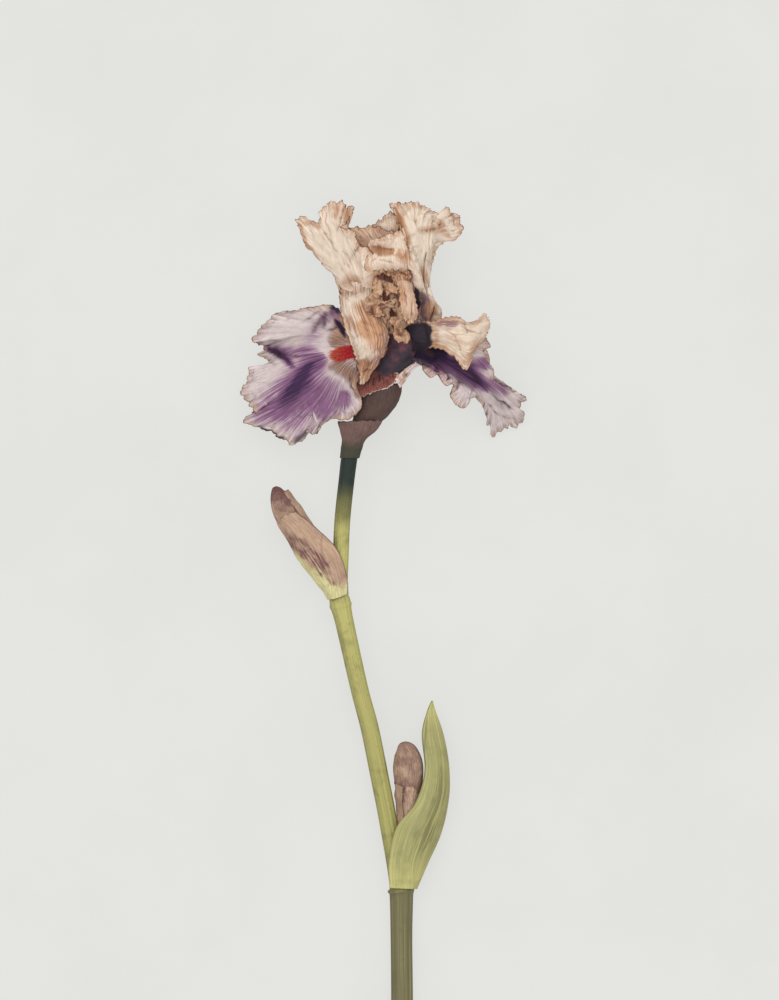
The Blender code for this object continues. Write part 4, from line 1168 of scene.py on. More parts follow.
# Strokes seen from above: strength, width and line. Folds have a width, a depth and a line, and their
# grooves are darkened with painted shade. Strokes of "dark" are mostly painted shade in openings, hollows
# and under rims. Strokes of "stain" are the real stains of the falls and bracts, with some painted shade
# on the falls, and are painted shade in the hollows of the standards, style arms and crests.
STROKES = {
    "fall_left": {
        "stain": (
            (0.36, 4.2, ((-37, 351), (-47, 346.5), (-51, 340), (-55, 334.5), (-61, 327))),
            (0.3, 2.0, ((-44, 349), (-50, 343), (-54, 336), (-57, 332))),
            (0.45, 9, ((-36, 350), (-48, 343), (-60, 331), (-76, 318))),
            (0.35, 3, ((-66, 356), (-54, 354), (-38, 352))),
            (0.55, 2.4, ((-74, 358.5), (-66, 355.6), (-59.8, 352.5), (-54, 346))),
            (0.34, 13, ((-44, 340), (-50, 326), (-58, 312))),
            (0.32, 9, ((-35, 342), (-36, 328), (-38, 318))),
            (0.3, 4, ((-28, 335), (-28, 325))),
            (0.26, 6, ((-38, 372), (-46, 360), (-50, 354))),
            (0.55, 3.5, ((-36, 376), (-31, 370), (-30, 364))),
            (0.22, 4, ((-42, 372), (-37, 374))),
        ),
        "warm": (
            (1.0, 5, ((-36, 357), (-30, 363), (-27, 374))),
            (0.9, 4, ((-37, 347), (-28, 345.5), (-23, 340), (-20, 330))),
        ),
        "dark": (
            (0.9, 1.6, ((-33.5, 370.5), (-30.5, 366), (-28, 361))),
            (0.75, 1.8, ((-37, 377), (-33, 376), (-30.5, 373))),
            (0.8, 1.6, ((-74, 317), (-68.5, 315), (-62.5, 311.5), (-58, 309.5))),
            (0.6, 2.2, ((-56, 308.5), (-50, 312), (-46, 316))),
            (0.7, 1.2, ((-68, 355.5), (-60, 351.5), (-54, 346))),
        ),
        "pale": (
            (0.6, 0.7, ((-44.5, 325), (-43.4, 322), (-42.5, 318))),
            (0.7, 0.8, ((-73, 316.5), (-66, 316), (-63.5, 311))),
            (0.6, 0.6, ((-70, 330), (-67, 327))),
        ),
        "fold": (
            (1.1, 1.7, ((-76, 359), (-66, 355.6), (-59.8, 352.5), (-53, 345.5))),
            (0.9, 1.1, ((-62, 353.6), (-52, 351.8), (-44, 352.2))),
            (0.9, 0.9, ((-57.8, 369.6), (-56.4, 372.5), (-53.8, 377))),
            (0.9, 1.0, ((-60, 371), (-57, 376))),
            (1.0, 1.1, ((-50.6, 368.7), (-46, 371.2), (-40, 376))),
            (2.2, 1.5, ((-45.6, 361.7), (-44.4, 365.2), (-41.4, 370.6), (-38, 375))),
            (2.4, 1.9, ((-39.7, 364.5), (-39, 369.7), (-37, 373.6), (-33.5, 378.5))),
            (1.5, 1.2, ((-38, 363.7), (-34, 366.2), (-31, 369.2))),
            (2.0, 1.3, ((-36.5, 368), (-35, 373), (-31.5, 377))),
            (0.7, 0.8, ((-52, 375.5), (-48, 379))),
            (0.7, 0.8, ((-46, 376), (-42, 379.5))),
            (0.6, 0.7, ((-66, 366), (-63, 371))),
            (0.7, 0.9, ((-45, 319.7), (-44, 325.1), (-43, 329.1))),
            (1.0, 1.2, ((-25.5, 343), (-25.5, 336.5), (-22.5, 332.5))),
            (0.8, 0.9, ((-28.5, 333.5), (-26, 331))),
            (0.9, 1.0, ((-71.5, 353), (-64.7, 354))),
            (0.9, 1.0, ((-68, 348.5), (-62, 348.5))),
            (0.8, 0.8, ((-70, 325), (-60, 327), (-50, 332))),
            (0.7, 0.6, ((-66, 317), (-56, 323))),
        ),
    },
    "fall_right": {
        "stain": (
            (0.75, 3.4, ((20, 351), (27, 348), (34, 343.5), (43, 334.5))),
            (0.5, 7, ((12, 352), (28, 347), (40, 338))),
            (0.45, 5, ((41, 345), (42, 352))),
            (0.42, 4.5, ((40, 340), (48, 336.5), (54, 333))),
            (0.4, 3.5, ((9, 349), (16, 347), (22, 344))),
        ),
        "dark": (
            (1.0, 8, ((-2, 357), (8, 355), (18, 353))),
            (0.7, 6, ((14, 355), (24, 352))),
            (0.34, 3.5, ((42, 338), (46, 332), (49, 326))),
            (0.26, 3.0, ((49, 329), (55, 325))),
        ),
        "fold": (
            (1.5, 2.0, ((24, 350), (34, 343), (42, 334))),
            (0.9, 3.2, ((10, 349), (15, 345))),
            (1.0, 2.6, ((16, 348), (19, 342))),
            (1.0, 2.4, ((21, 347), (24, 340))),
            (1.0, 1.8, ((30, 341), (28, 334))),
            (0.9, 1.4, ((44, 333), (49, 329), (53, 328))),
            (1.0, 1.2, ((29, 343), (27, 334))),
            (0.9, 1.0, ((36, 337), (34, 330))),
            (0.9, 1.1, ((45, 325), (52, 321), (57, 320))),
            (0.8, 1.0, ((43, 329), (48, 323))),
            (0.8, 0.9, ((50, 329), (56, 325))),
            (0.8, 0.9, ((41, 353), (45, 351))),
        ),
    },
    "fall_back": {
        "stain": (
            (0.9, 6, ((-20, 352), (-34, 352), (-46, 351))),
            (0.4, 14, ((-24, 352), (-52, 350))),
        ),
        "warm": ((0.8, 6, ((-16, 353), (-26, 353))),),
        "fold": ((1.4, 1.5, ((-24, 352), (-50, 351))),),
    },
    "standard_left": {
        "warm": (
            (0.3, 3.0, ((-31, 389), (-26, 387), (-19, 391))),
            (0.6, 1.6, ((-52, 419), (-46, 404.5), (-40, 398.5))),
            (0.8, 2.4, ((-28, 428), (-27.5, 422), (-26, 416))),
            (0.5, 2.0, ((-33, 428), (-33.5, 420))),
            (0.5, 1.8, ((-52, 418), (-45, 419), (-41, 415))),
            (0.35, 4.0, ((-30, 392), (-20, 388))),
        ),
        "fold": (
            (0.8, 1.1, ((-38, 424), (-38.5, 419), (-36, 413))),
            (1.0, 1.4, ((-29.3, 428.2), (-30.5, 421.3), (-33, 414))),
            (0.8, 0.9, ((-46.7, 418.2), (-45.1, 413.2), (-43.5, 407.6))),
            (0.9, 0.9, ((-40, 416.5), (-36.7, 410), (-32.5, 404))),
            (0.8, 1.0, ((-49.2, 422.5), (-42.5, 419))),
            (0.8, 0.8, ((-20, 409), (-25, 402), (-28, 394))),
            (1.5, 0.6, ((-31, 387.8), (-27.5, 389), (-20, 389))),
            (0.8, 0.9, ((-18.7, 394), (-13.7, 398.5), (-10.5, 399.5))),
        ),
    },
    "standard_right": {
        "dark": ((1.2, 1.8, ((6.3, 386), (7.2, 381), (8.4, 375))),),
        "stain": ((0.85, 3.2, ((9, 384), (11, 378), (11.5, 369))),),
        "warm": (
            (0.9, 2.0, ((-4.5, 428), (-0.7, 419.5), (2.5, 410), (3.7, 404.5))),
            (0.5, 2.6, ((8, 414), (18.5, 416))),
            (0.5, 2.2, ((19, 421), (20, 414), (26, 411))),
            (0.6, 1.8, ((13, 386), (9, 398))),
            (0.6, 4.0, ((12, 379), (17, 372))),
        ),
        "fold": (
            (1.1, 1.4, ((-4.5, 428.1), (-0.7, 419.5), (2.5, 410.1), (3.7, 404.5))),
            (0.9, 1.1, ((7.4, 415.1), (11.8, 414.5), (18.5, 416.3))),
            (0.9, 1.3, ((18.5, 421), (19.2, 415.7))),
            (0.7, 0.9, ((26, 423.2), (26.7, 417))),
            (0.9, 0.8, ((6.2, 404), (8.7, 400.2))),
            (0.8, 0.8, ((24.8, 414.5), (30.4, 415.7))),
            (0.7, 0.6, ((6, 426), (7.5, 416))),
        ),
    },
    "standard_back": {
        "warm": ((0.45, 14, ((-30, 412), (-14, 410), (6, 404))),),
        "dark": ((0.95, 16, ((-6, 392), (-6, 356))),),
        "fold": (
            (0.8, 1.0, ((-22, 418), (-20, 409))),
            (0.8, 1.0, ((-17, 417), (-16, 410))),
            (0.8, 1.0, ((-12, 417), (-10, 411))),
        ),
    },
    "back_fold": {
        "warm": (
            (1.2, 1.8, ((-16, 405.5), (-10, 404.5), (-3.5, 404.5))),
            (0.5, 2.6, ((-2, 405), (1, 401), (3, 404))),
            (0.25, 9, ((-14, 397), (0, 399), (4, 396))),
        ),
        "fold": (
            (1.8, 1.1, ((-15.5, 406.5), (-10, 404.8), (-3.5, 405))),
            (1.2, 0.9, ((0, 400), (3, 404), (4.5, 406))),
            (0.8, 0.8, ((-12, 400), (-4, 398))),
            (0.9, 0.9, ((-17, 398), (-13, 401))),
            (0.7, 0.6, ((-12, 410), (-4, 410.5))),
        ),
    },
    "style_arm_left": {
        "warm": (
            (0.4, 3.5, ((-31, 386), (-28, 383), (-22, 385), (-14, 388))),
            (0.75, 4.5, ((-22, 368), (-15, 367), (-8, 364))),
            (0.42, 6.0, ((-13, 366), (-9, 360), (-11, 352), (-18, 341))),
            (0.5, 6.5, ((-24, 379), (-19, 371), (-13, 362))),
            (0.5, 2.0, ((-20, 380), (-19, 374), (-14, 370))),
            (0.8, 4.0, ((-20, 350), (-18, 338))),
            (0.5, 5.0, ((-24, 368), (-18, 363), (-10, 355))),
            (0.4, 3.0, ((-28, 372), (-26, 364))),
        ),
        "stain": ((0.3, 4.5, ((-7, 368), (-7, 361), (-9, 352), (-16, 342))),),
        "fold": (
            (1.1, 1.0, ((-31, 386.5), (-26, 384), (-22, 383.5))),
            (0.8, 0.9, ((-29, 381), (-24, 379))),
            (1.0, 1.0, ((-23, 370), (-18, 369), (-13, 366))),
            (0.9, 0.9, ((-20, 366), (-14, 363.5), (-8, 362))),
            (1.0, 0.7, ((-25, 360), (-20, 363))),
            (1.1, 0.7, ((-25.5, 355), (-19, 359.5))),
            (1.0, 0.6, ((-24.5, 352.5), (-18, 357.5))),
            (1.1, 0.7, ((-15, 368), (-8, 366))),
            (1.2, 0.8, ((-13, 359), (-10, 352), (-11, 347))),
            (1.2, 0.8, ((-24, 350), (-17, 356))),
            (1.4, 0.9, ((-22, 346), (-16, 352), (-11, 356))),
            (1.5, 1.1, ((-20, 341), (-17, 347), (-11, 351))),
            (1.2, 0.8, ((-21, 343.5), (-18, 345), (-15, 344))),
            (0.6, 0.6, ((-29, 368), (-26, 372))),
        ),
    },
    "style_arm_right": {
        "warm": (
            (0.7, 1.8, ((14, 358), (22, 352), (29, 347))),
            (0.45, 1.8, ((16.5, 369), (17, 362), (16, 356))),
            (0.28, 9, ((18, 361), (28, 358), (36, 356))),
            (0.5, 2.4, ((30, 346), (36, 354), (43, 362))),
            (0.5, 3.0, ((8, 364), (16, 366))),
        ),
        "stain": ((0.5, 4.0, ((16, 369), (22, 370), (29, 368))),),
        "dark": (
            (1.3, 5, ((-2, 363), (8, 364.5), (15.5, 365))),
            (1.3, 5, ((-2, 357), (8, 358), (15.5, 357))),
        ),
        "fold": (
            (0.9, 1.0, ((20, 366), (26, 362), (31, 350))),
            (0.8, 0.8, ((28, 368), (36, 364), (42, 362))),
            (0.8, 0.8, ((24, 370), (33, 368))),
        ),
    },
    "style_arm_back": {
        "dark": (
            (0.95, 5.5, ((-9, 392), (-6, 388))),
            (0.9, 8, ((-6, 382), (-6, 362))),
        ),
        "warm": ((0.9, 5, ((-14, 396), (2, 398))),),
    },
    "crest_mass": {
        "dark": (
            (1.3, 1.8, ((-14, 392.5), (-9, 391.5), (-4, 389.5))),
            (1.2, 1.7, ((-5.5, 376), (-4, 369), (-2.5, 364))),
            (0.9, 1.8, ((-18.5, 378), (-16, 373), (-13, 369))),
        ),
        "stain": ((0.6, 2.4, ((-9, 384), (-7.5, 378))),),
        "warm": ((0.7, 6, ((0, 397), (2, 388))),),
        "fold": (
            (2.0, 1.8, ((-14, 392.5), (-9, 391.5), (-4, 389.5))),
            (1.8, 3.5, ((-5.5, 376), (-4, 369), (-2.5, 364))),
            (2.0, 3.0, ((-18.5, 378), (-16, 373), (-13, 369))),
            (2.4, 2.2, ((-9, 385), (-7.5, 378))),
            (0.9, 1.2, ((-3, 384), (-1, 374))),
        ),
    },
    "crest_lobe": {
        "warm": ((0.5, 3, ((0, 388), (-1, 378))),),
        "fold": ((0.9, 1.0, ((1, 387), (2, 376))), (0.8, 0.8, ((5, 380), (5, 370)))),
    },
    "crest_roll": {
        "stain": ((0.5, 3.0, ((-19, 377), (-17, 371))),),
        "warm": ((0.8, 3.0, ((-15, 378), (-13, 371))),),
        "fold": ((1.2, 1.4, ((-16, 376), (-14, 370))), (1.2, 1.0, ((-18, 374), (-12, 369)))),
    },
    "crest_hanging": {
        "warm": ((0.3, 1.6, ((-4, 366), (0, 361))),),
        "fold": ((0.9, 1.0, ((-3, 366), (-1, 361))), (0.6, 0.8, ((1, 361), (3, 358)))),
    },
    "lower_bract": {
        "stain": (
            (1.0, 4.0, ((19.5, 147), (19.5, 132), (15, 116), (9, 100))),
            (0.5, 3.0, ((13, 128), (8, 112), (4, 98))),
        ),
        "dark": ((0.5, 0.5, ((11.5, 146), (11, 158), (13, 172))),),
    },
    "upper_bract": {
        "warm": (
            (1.0, 4.0, ((-57, 256), (-50, 245), (-40, 235), (-32, 232))),
            (0.5, 3.0, ((-44, 246), (-34, 234))),
        ),
        "stain": (
            (1.0, 2.2, ((-60, 265), (-53, 257), (-44, 249), (-35, 242))),
            (0.8, 1.4, ((-56, 264), (-46, 256), (-36, 246))),
            (0.5, 1.2, ((-44, 246), (-36, 239), (-31, 236))),
        ),
    },
    "fringe": {
        "pale": ((0.45, 0.6, ((-12, 334.5), (-6, 335.6), (-1, 341))),),
        "stain": ((0.5, 2.5, ((-22, 341), (-14, 341), (-6, 344))),),
        "dark": (
            (0.6, 0.9, ((-16, 343), (-17.5, 337))),
            (0.6, 0.9, ((-11, 344), (-11, 338))),
            (0.5, 0.8, ((-7, 345), (-5.5, 339))),
        ),
        "fold": (
            (0.7, 1.0, ((-18, 342), (-20, 335))),
            (0.7, 1.0, ((-14, 342), (-14.5, 336))),
            (0.7, 1.0, ((-9.5, 343), (-8.5, 337))),
            (0.7, 1.0, ((-5, 345), (-3.5, 340))),
        ),
    },
}


# Operators, one for each piece or group of like pieces, and one for the stage.


class IRIS_OT_stem(Operator):
    """Grows the ribbed stem with its two swollen nodes"""

    bl_idname = "iris.stem"
    bl_label = "Stem"

    def execute(self, context):
        sizes, paints = context.scene.iris_sizes, context.scene.iris_colours

        def ribs(along, angle):
            ridge = np.sin(13 * angle + 0.4 * np.sin(along / 40)) + 0.6 * np.sin(22 * angle + along / 90)
            lower_scar = 0.5 * np.exp(-(((along - LOWER_NODE) / 1.1) ** 2))
            upper_scar = 0.4 * np.exp(-((along - UPPER_NODE) ** 2))
            return sizes.rib_height / MM * ridge + lower_scar + upper_scar

        stations = [(x, y, STEM_FOOT_HEIGHT + STEM_RISE * y, radius) for x, y, radius in STEM]
        piece = grow_tube("stem_ribbed", stations, 520, 72, ribs)
        finish = stem_finish("stem", paints.stem_low[:], paints.stem_high[:], paints.stem_dark[:])
        hand_over(piece, ["stem"], finish)
        return {"FINISHED"}


class IRIS_OT_bracts(Operator):
    """Grows the green bract of the lower node and the dry, striped one of the upper node"""

    bl_idname = "iris.bracts"
    bl_label = "Bracts"

    def execute(self, context):
        sizes, paints = context.scene.iris_sizes, context.scene.iris_colours
        thickness = sizes.bract_thickness
        leaf = leaf_finish("bract_leaf", paints.leaf[:], paints.leaf_pale[:], shaded(paints.leaf[:], 0.5))
        dry = paper_finish("bract_dry", paints.paper[:], paints.paper_dark[:], paints.paper_green[:], 0.3)
        lower = grow_sheet(
            "lower_bract_leaf",
            LOWER_BRACT,
            120,
            170,
            thickness,
            waves=((0.3, 14, 3),),
            rumples=((0.25, 9),),
            strokes=STROKES["lower_bract"],
        )
        hand_over(lower, ["lower_bract"], leaf)
        upper = grow_sheet(
            "upper_bract_dry",
            UPPER_BRACT,
            120,
            120,
            thickness,
            waves=((0.4, 9, 5),),
            frills=((1.2, 6),),
            rumples=((0.5, 7), (0.25, 3)),
            creases=((0.3, 6),),
            strokes=STROKES["upper_bract"],
        )
        hand_over(upper, ["upper_bract"], dry)
        return {"FINISHED"}


class IRIS_OT_buds(Operator):
    """Grows the two withered buds and the papery sheath on each"""

    bl_idname = "iris.buds"
    bl_label = "Buds"

    def execute(self, context):
        sizes, paints = context.scene.iris_sizes, context.scene.iris_colours
        paper, dark = paints.paper[:], paints.paper_dark[:]
        dry = paper_finish("bud_sheath", paper, dark, paper, 0.2)

        def folds(along, angle):
            swell = np.clip(along / 12, 0, 1)
            twist = angle * 3 + along / 9
            return swell * (0.4 * np.sin(twist) + 0.16 * np.sin(angle * 5 - along / 5 + 1))

        for level, stations, sheath, withered in (
            ("lower", LOWER_BUD, LOWER_SHEATH, 0.6),
            ("upper", UPPER_BUD, UPPER_SHEATH, 1.1),
        ):
            piece = grow_tube(f"{level}_bud_withered", stations, 150, 96, folds)
            skin = bud_finish(f"bud_skin_{level}", paper, dark, withered)
            hand_over(piece, [f"{level}_bud"], skin)
            cover = grow_sheet(
                f"{level}_bud_sheath_dry",
                sheath,
                50,
                90,
                sizes.bract_thickness * 0.6,
                waves=((0.5, 5, 4),),
                frills=((1.0, 3),),
                rumples=((0.4, 4),),
            )
            hand_over(cover, [f"{level}_bud_sheath"], dry)
        return {"FINISHED"}


class IRIS_OT_spathe(Operator):
    """Rolls the two papery valves that hold the ovary"""

    bl_idname = "iris.spathe"
    bl_label = "Spathe"

    def execute(self, context):
        paints = context.scene.iris_colours
        body, foot = paints.spathe[:], paints.spathe_foot[:]
        outer = paper_finish("spathe_paper", shaded(body, 1.2), shaded(body, 0.4), foot, 0.8)
        inner = paper_finish("spathe_paper_inner", shaded(body, 0.64), shaded(body, 0.3), body, 0.2)
        for name, stations, slant, finish in (
            ("outer", SPATHE_OUTER, 0.5, outer),
            ("inner", SPATHE_INNER, 3.8, inner),
        ):
            piece = grow_funnel(f"spathe_{name}_paper", stations, slant)
            hand_over(piece, [f"spathe_{name}"], finish)
        return {"FINISHED"}


class IRIS_OT_throat(Operator):
    """Grows the ovary, the tube above it and the dark heart of the flower"""

    bl_idname = "iris.throat"
    bl_label = "Throat"

    def execute(self, context):
        sizes, paints = context.scene.iris_sizes, context.scene.iris_colours
        dark, red, pale = paints.throat[:], paints.fringe[:], paints.fall_pale[:]

        def ridges(along, angle):
            ridge = 0.35 * np.sin(6 * angle) * np.clip(along / 10, 0, 1)
            return ridge + 0.2 * np.sin(11 * angle + along / 6)

        piece = grow_tube("throat_dark", THROAT, 120, 90, ridges)
        # The ovary and tube take the throat colour, mostly painted shade of the flower's heart, with a
        # blush in patches.
        flesh = plain_finish("throat_flesh", dark, shaded(dark, 0.5), paints.throat_blush[:])
        hand_over(piece, ["ovary_and_tube"], flesh)
        torn = petal_finish(
            "throat_fringe",
            red,
            shaded(red, 0.7),
            dark,
            shaded(red, 1.3),
            shaded(red, 0.4),
            shaded(paints.standard[:], 0.8),
        )
        skin = plain_finish("torn_skin", pale, shaded(paints.ochre[:], 0.6), pale)
        for name, rings, finish in (("fringe", FRINGE, torn), ("torn_skin", TORN_SCRAP, skin)):
            piece = grow_sheet(
                name + "_petal",
                rings,
                260,
                60,
                sizes.petal_thickness * 0.7,
                waves=((0.6, 4, 6), (0.4, 1.8, 4)),
                frills=((0.9, 2.5), (0.5, 1.1)),
                rumples=((0.6, 3.5), (0.3, 1.6)),
                creases=((0.5, 4), (0.3, 1.8)),
                strokes=STROKES.get(name, {}),
            )
            hand_over(piece, ["ovary_and_tube"], finish)
        return {"FINISHED"}


class IRIS_OT_falls(Operator):
    """Grows the three falls, with their stains, veins and ruffled margins"""

    bl_idname = "iris.falls"
    bl_label = "Falls"

    def execute(self, context):
        sizes, paints = context.scene.iris_sizes, context.scene.iris_colours
        # fall_deep darkened is painted shade under the dark strokes, and fall_fold darkened is painted
        # shade in the valleys.
        finish = petal_finish(
            "fall_petal",
            paints.fall_pale[:],
            paints.fall_purple[:],
            paints.fall_deep[:],
            paints.haft[:],
            paints.fall_fold[:],
            paints.rim[:],
        )
        for side, rings, columns, rows in (
            ("left", FALL_LEFT, 560, 70),
            ("right", FALL_RIGHT, 480, 60),
            ("back", FALL_BACK, 260, 40),
        ):
            piece = grow_sheet(
                f"fall_{side}_petal",
                rings,
                columns,
                rows,
                sizes.petal_thickness,
                waves=((1.3, 11, 9), (0.8, 4.6, 5), (0.35, 1.7, 3.5)),
                frills=((1.1, 4.5), (0.6, 1.7)),
                rumples=((0.5, 9), (0.25, 3)),
                creases=((0.35, 9), (0.2, 4)),
                strokes=STROKES[f"fall_{side}"],
            )
            hand_over(piece, [f"fall_{side}"], finish)
        return {"FINISHED"}


class IRIS_OT_standards(Operator):
    """Grows the three upright petals with their folds and ragged rims"""

    bl_idname = "iris.standards"
    bl_label = "Standards"

    def execute(self, context):
        sizes, paints = context.scene.iris_sizes, context.scene.iris_colours
        # The mauve stains and the darkened throat colour are painted shade in the hollows and openings
        # between the standards.
        finish = petal_finish(
            "standard_petal",
            paints.standard[:],
            paints.mauve[:],
            shaded(paints.throat[:], 1.2),
            paints.ochre[:],
            paints.petal_fold[:],
            paints.rim[:],
        )
        for name, node, rings, columns, rows in (
            ("standard_left", "standard_left", STANDARD_LEFT, 480, 70),
            ("standard_right", "standard_right", STANDARD_RIGHT, 480, 70),
            ("standard_back", "standard_back", STANDARD_BACK, 400, 50),
            ("back_fold", "standard_back", BACK_FOLD, 140, 90),
            ("back_lobe", "standard_back", BACK_LOBE, 160, 50),
        ):
            piece = grow_sheet(
                name + "_petal",
                rings,
                columns,
                rows,
                sizes.petal_thickness,
                waves=((1.0, 9, 8), (0.7, 4.2, 5), (0.35, 1.7, 3.5)),
                frills=((1.2, 4), (0.7, 1.6)),
                rumples=((0.5, 9), (0.3, 3.2)),
                creases=((0.5, 8), (0.3, 3.5)),
                strokes=STROKES.get(name, {}),
                calm=0.52,
            )
            hand_over(piece, [node], finish)
        return {"FINISHED"}


class IRIS_OT_style_arms(Operator):
    """Grows the three style arms and the crumpled crests that hang over the flower's heart"""

    bl_idname = "iris.style_arms"
    bl_label = "Style Arms"

    def execute(self, context):
        sizes, paints = context.scene.iris_sizes, context.scene.iris_colours
        mauve, throat, ochre, rim = paints.mauve[:], paints.throat[:], paints.ochre[:], paints.rim[:]
        fold, crest_fold = paints.petal_fold[:], paints.crest_fold[:]
        # cream is the arms' own colour; hollow is painted shade for the openings under the arms.
        cream, hollow_shade = shaded(paints.standard[:], 0.92), shaded(throat, 1.9)
        pale = petal_finish("style_arm_pale", cream, mauve, hollow_shade, ochre, fold, rim)
        lined = petal_finish("style_arm_lined", cream, mauve, hollow_shade, ochre, crest_fold, rim)
        smooth = petal_finish("crest_smooth", paints.crest_smooth[:], mauve, throat, ochre, fold, rim)
        # brown holds painted shade for the holes and recesses of the crests.
        brown = (shaded(mauve, 0.8), shaded(rim, 1.6))
        gold = petal_finish("crest_gold", paints.crest[:], *brown, ochre, crest_fold, rim)
        for name, node, rings, grid, rough, valley_shade, finish in (
            ("style_arm_left", "style_arm_left", STYLE_ARM_LEFT, (150, 140), 0.5, 0.75, lined),
            ("style_arm_right", "style_arm_right", STYLE_ARM_RIGHT, (120, 100), 0.6, 1.0, pale),
            ("style_arm_back", "style_arm_back", STYLE_ARM_BACK, (120, 100), 1.0, 1.5, gold),
            ("crest_mass", "style_arm_back", CREST_MASS, (120, 100), 1.5, 1.5, gold),
            ("crest_lobe", "style_arm_back", CREST_LOBE, (120, 100), 0.5, 1.5, smooth),
            ("crest_hanging", "style_arm_back", CREST_HANGING, (120, 100), 0.9, 1.5, gold),
            ("crest_roll", "style_arm_back", CREST_ROLL, (120, 100), 0.9, 1.5, gold),
            ("crest_curl", "style_arm_back", CREST_CURL, (120, 100), 1.1, 1.5, gold),
            ("crest_curl_low", "style_arm_back", CREST_CURL_LOW, (120, 100), 1.1, 1.5, gold),
        ):
            piece = grow_sheet(
                name + "_petal",
                rings,
                *grid,
                sizes.petal_thickness,
                waves=((1.1 * rough, 7, 6), (0.5 * rough, 3, 3)),
                frills=((1.6, 3), (0.9, 1.4)),
                rumples=((0.8 * rough, 5.5), (0.5 * rough, 2.4), (0.2 * rough, 1.1)),
                creases=((0.9 * rough, 6), (0.6 * rough, 2.6)),
                strokes=STROKES.get(name, {}),
                calm=0.12,
                valley_shade=valley_shade,
                flanks=0.9,
            )
            hand_over(piece, [node], finish)
        return {"FINISHED"}


class IRIS_OT_beards(Operator):
    """Plants the red hairs of the three beards along the falls' hafts"""

    bl_idname = "iris.beards"
    bl_label = "Beards"

    def execute(self, context):
        paints = context.scene.iris_colours
        bright = hair_finish("beard_hair", paints.beard[:], paints.beard_tip[:])
        # The right beard lies in the shade of the heart: its hairs take darker colours, painted shade.
        deep = hair_finish("beard_hair_shaded", shaded(paints.throat[:], 0.9), shaded(paints.fringe[:], 0.3))
        for side, rings, span, width, finish in (
            ("left", FALL_LEFT, (0.08, 0.42), 38, bright),
            ("right", FALL_RIGHT, (0.1, 0.36), 12, deep),
            ("back", FALL_BACK, (0.1, 0.42), 16, bright),
        ):
            piece = comb_hairs(f"beard_{side}_hairs", rings, span, width, 2600, 5)
            hand_over(piece, [f"beard_{side}"], finish)
        return {"FINISHED"}


class IRIS_OT_stamens(Operator):
    """Grows the three stamens"""

    bl_idname = "iris.stamens"
    bl_label = "Stamens"

    def execute(self, context):
        cream = context.scene.iris_colours.stamen[:]
        finish = plain_finish("stamen_flesh", cream, shaded(cream, 0.7), cream)

        def grooves(along, angle):
            return 0.25 * np.cos(2 * angle) * np.clip((along - 9) / 3, 0, 1)

        for side, stations in STAMENS.items():
            piece = grow_tube(f"stamen_{side}_fine", stations, 70, 20, grooves)
            hand_over(piece, [f"stamen_{side}"], finish)
        return {"FINISHED"}


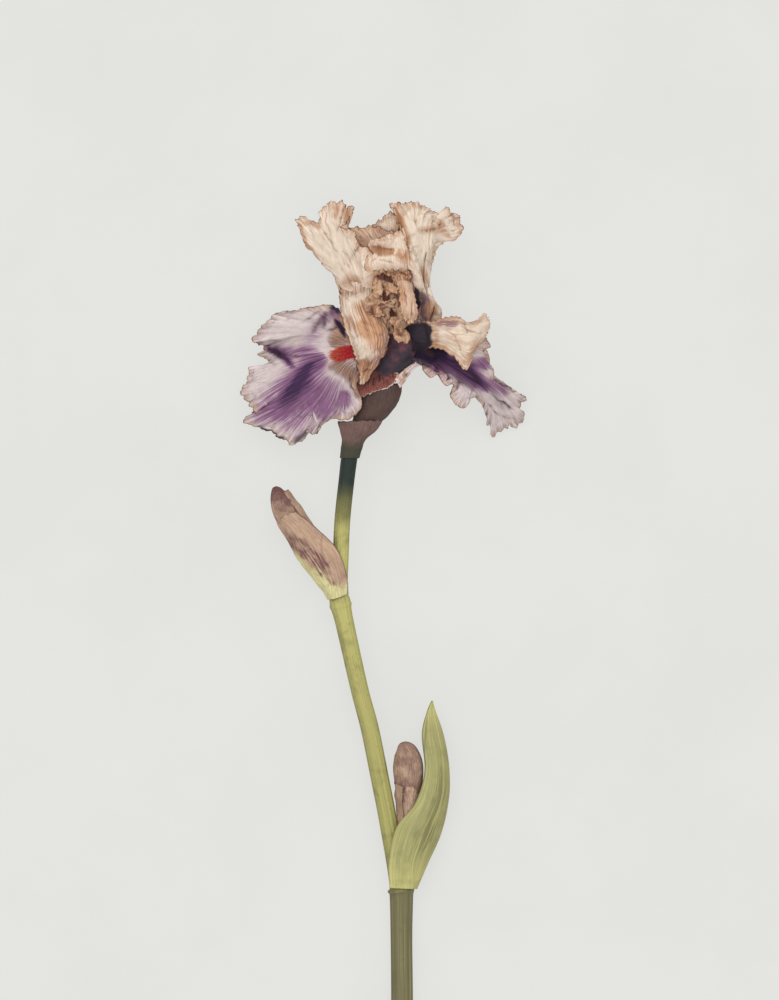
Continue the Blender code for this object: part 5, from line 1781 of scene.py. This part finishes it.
class IRIS_OT_stage(Operator):
    """Sets the pale surface, the soft light and the camera"""

    bl_idname = "iris.stage"
    bl_label = "Stage"

    def execute(self, context):
        settings = context.scene.iris_stage
        bpy.ops.object.select_all(action="DESELECT")
        bpy.ops.mesh.primitive_plane_add(size=8)
        surface = context.object
        surface.name = "surface"
        f = Finish("surface_paper", 0.9)
        cloud = f.noise(f.place(), 9.0, 6.0, 0.6)
        colour = f.mix(settings.surface[:], shaded(settings.surface[:], 0.96), cloud.rise(0.3, 0.75))
        f.glow(colour, settings.glow * settings.glow_power)
        lit_from_above = f.mix(colour, (0.0, 0.0, 0.0), settings.glow)
        surface.data.materials.append(f.finish(lit_from_above, cloud, 0.0002, 0.1))

        world = bpy.data.worlds.new("soft_light")
        world.use_nodes = True
        sky = world.node_tree.nodes["Background"]
        sky.inputs["Color"].default_value = (1.0, 1.0, 0.99, 1.0)
        sky.inputs["Strength"].default_value = settings.sky_strength
        context.scene.world = world

        bpy.ops.object.light_add(type="SUN", location=(-0.12, 0.3, 1.5))
        window = context.object
        window.name = "window"
        window.data.angle = math.radians(50)
        window.data.energy = settings.window_power
        window.rotation_euler = (-window.location).to_track_quat("-Z", "Y").to_euler()

        view_middle = CUT_END + np.array((-6.25, 280, 0)) * MM
        flower_height = 40 * MM
        sensor_height = 24.0
        place = (view_middle[0], view_middle[1], settings.camera_height)
        bpy.ops.object.camera_add(location=place, rotation=(0, 0, 0))
        camera = context.object
        camera.name = "camera"
        camera.data.sensor_fit = "VERTICAL"
        camera.data.sensor_height = sensor_height
        camera.data.lens = sensor_height * (settings.camera_height - flower_height) / settings.view_height
        camera.data.clip_end = 30.0
        context.scene.camera = camera
        context.scene.view_settings.view_transform = "Standard"
        return {"FINISHED"}


STEPS = (
    IRIS_OT_stage,
    IRIS_OT_stem,
    IRIS_OT_bracts,
    IRIS_OT_buds,
    IRIS_OT_spathe,
    IRIS_OT_throat,
    IRIS_OT_falls,
    IRIS_OT_beards,
    IRIS_OT_standards,
    IRIS_OT_style_arms,
    IRIS_OT_stamens,
)


class IRIS_PT_panel(Panel):
    """Lists the flower's sizes, colours and steps"""

    bl_label = "Bearded Iris"
    bl_idname = "IRIS_PT_panel"
    bl_space_type = "VIEW_3D"
    bl_region_type = "UI"
    bl_category = "Iris"

    def draw(self, context):
        layout = self.layout
        scene = context.scene
        for settings in (scene.iris_sizes, scene.iris_colours, scene.iris_stage):
            box = layout.box()
            for key in settings.__annotations__:
                box.prop(settings, key)
        for step in STEPS:
            layout.operator(step.bl_idname)


GROUPS = (IrisSizes, IrisColours, StageSettings)


def register():
    for kind in (*GROUPS, *STEPS, IRIS_PT_panel):
        bpy.utils.register_class(kind)
    bpy.types.Scene.iris_sizes = PointerProperty(type=IrisSizes)
    bpy.types.Scene.iris_colours = PointerProperty(type=IrisColours)
    bpy.types.Scene.iris_stage = PointerProperty(type=StageSettings)


def unregister():
    del bpy.types.Scene.iris_stage
    del bpy.types.Scene.iris_colours
    del bpy.types.Scene.iris_sizes
    for kind in reversed((*GROUPS, *STEPS, IRIS_PT_panel)):
        bpy.utils.unregister_class(kind)


def main():
    """Builds the whole scene."""
    register()
    bpy.ops.iris.stage()
    bpy.ops.iris.stem()
    bpy.ops.iris.bracts()
    bpy.ops.iris.buds()
    bpy.ops.iris.spathe()
    bpy.ops.iris.throat()
    bpy.ops.iris.falls()
    bpy.ops.iris.beards()
    bpy.ops.iris.standards()
    bpy.ops.iris.style_arms()
    bpy.ops.iris.stamens()


if __name__ == "__main__":
    main()
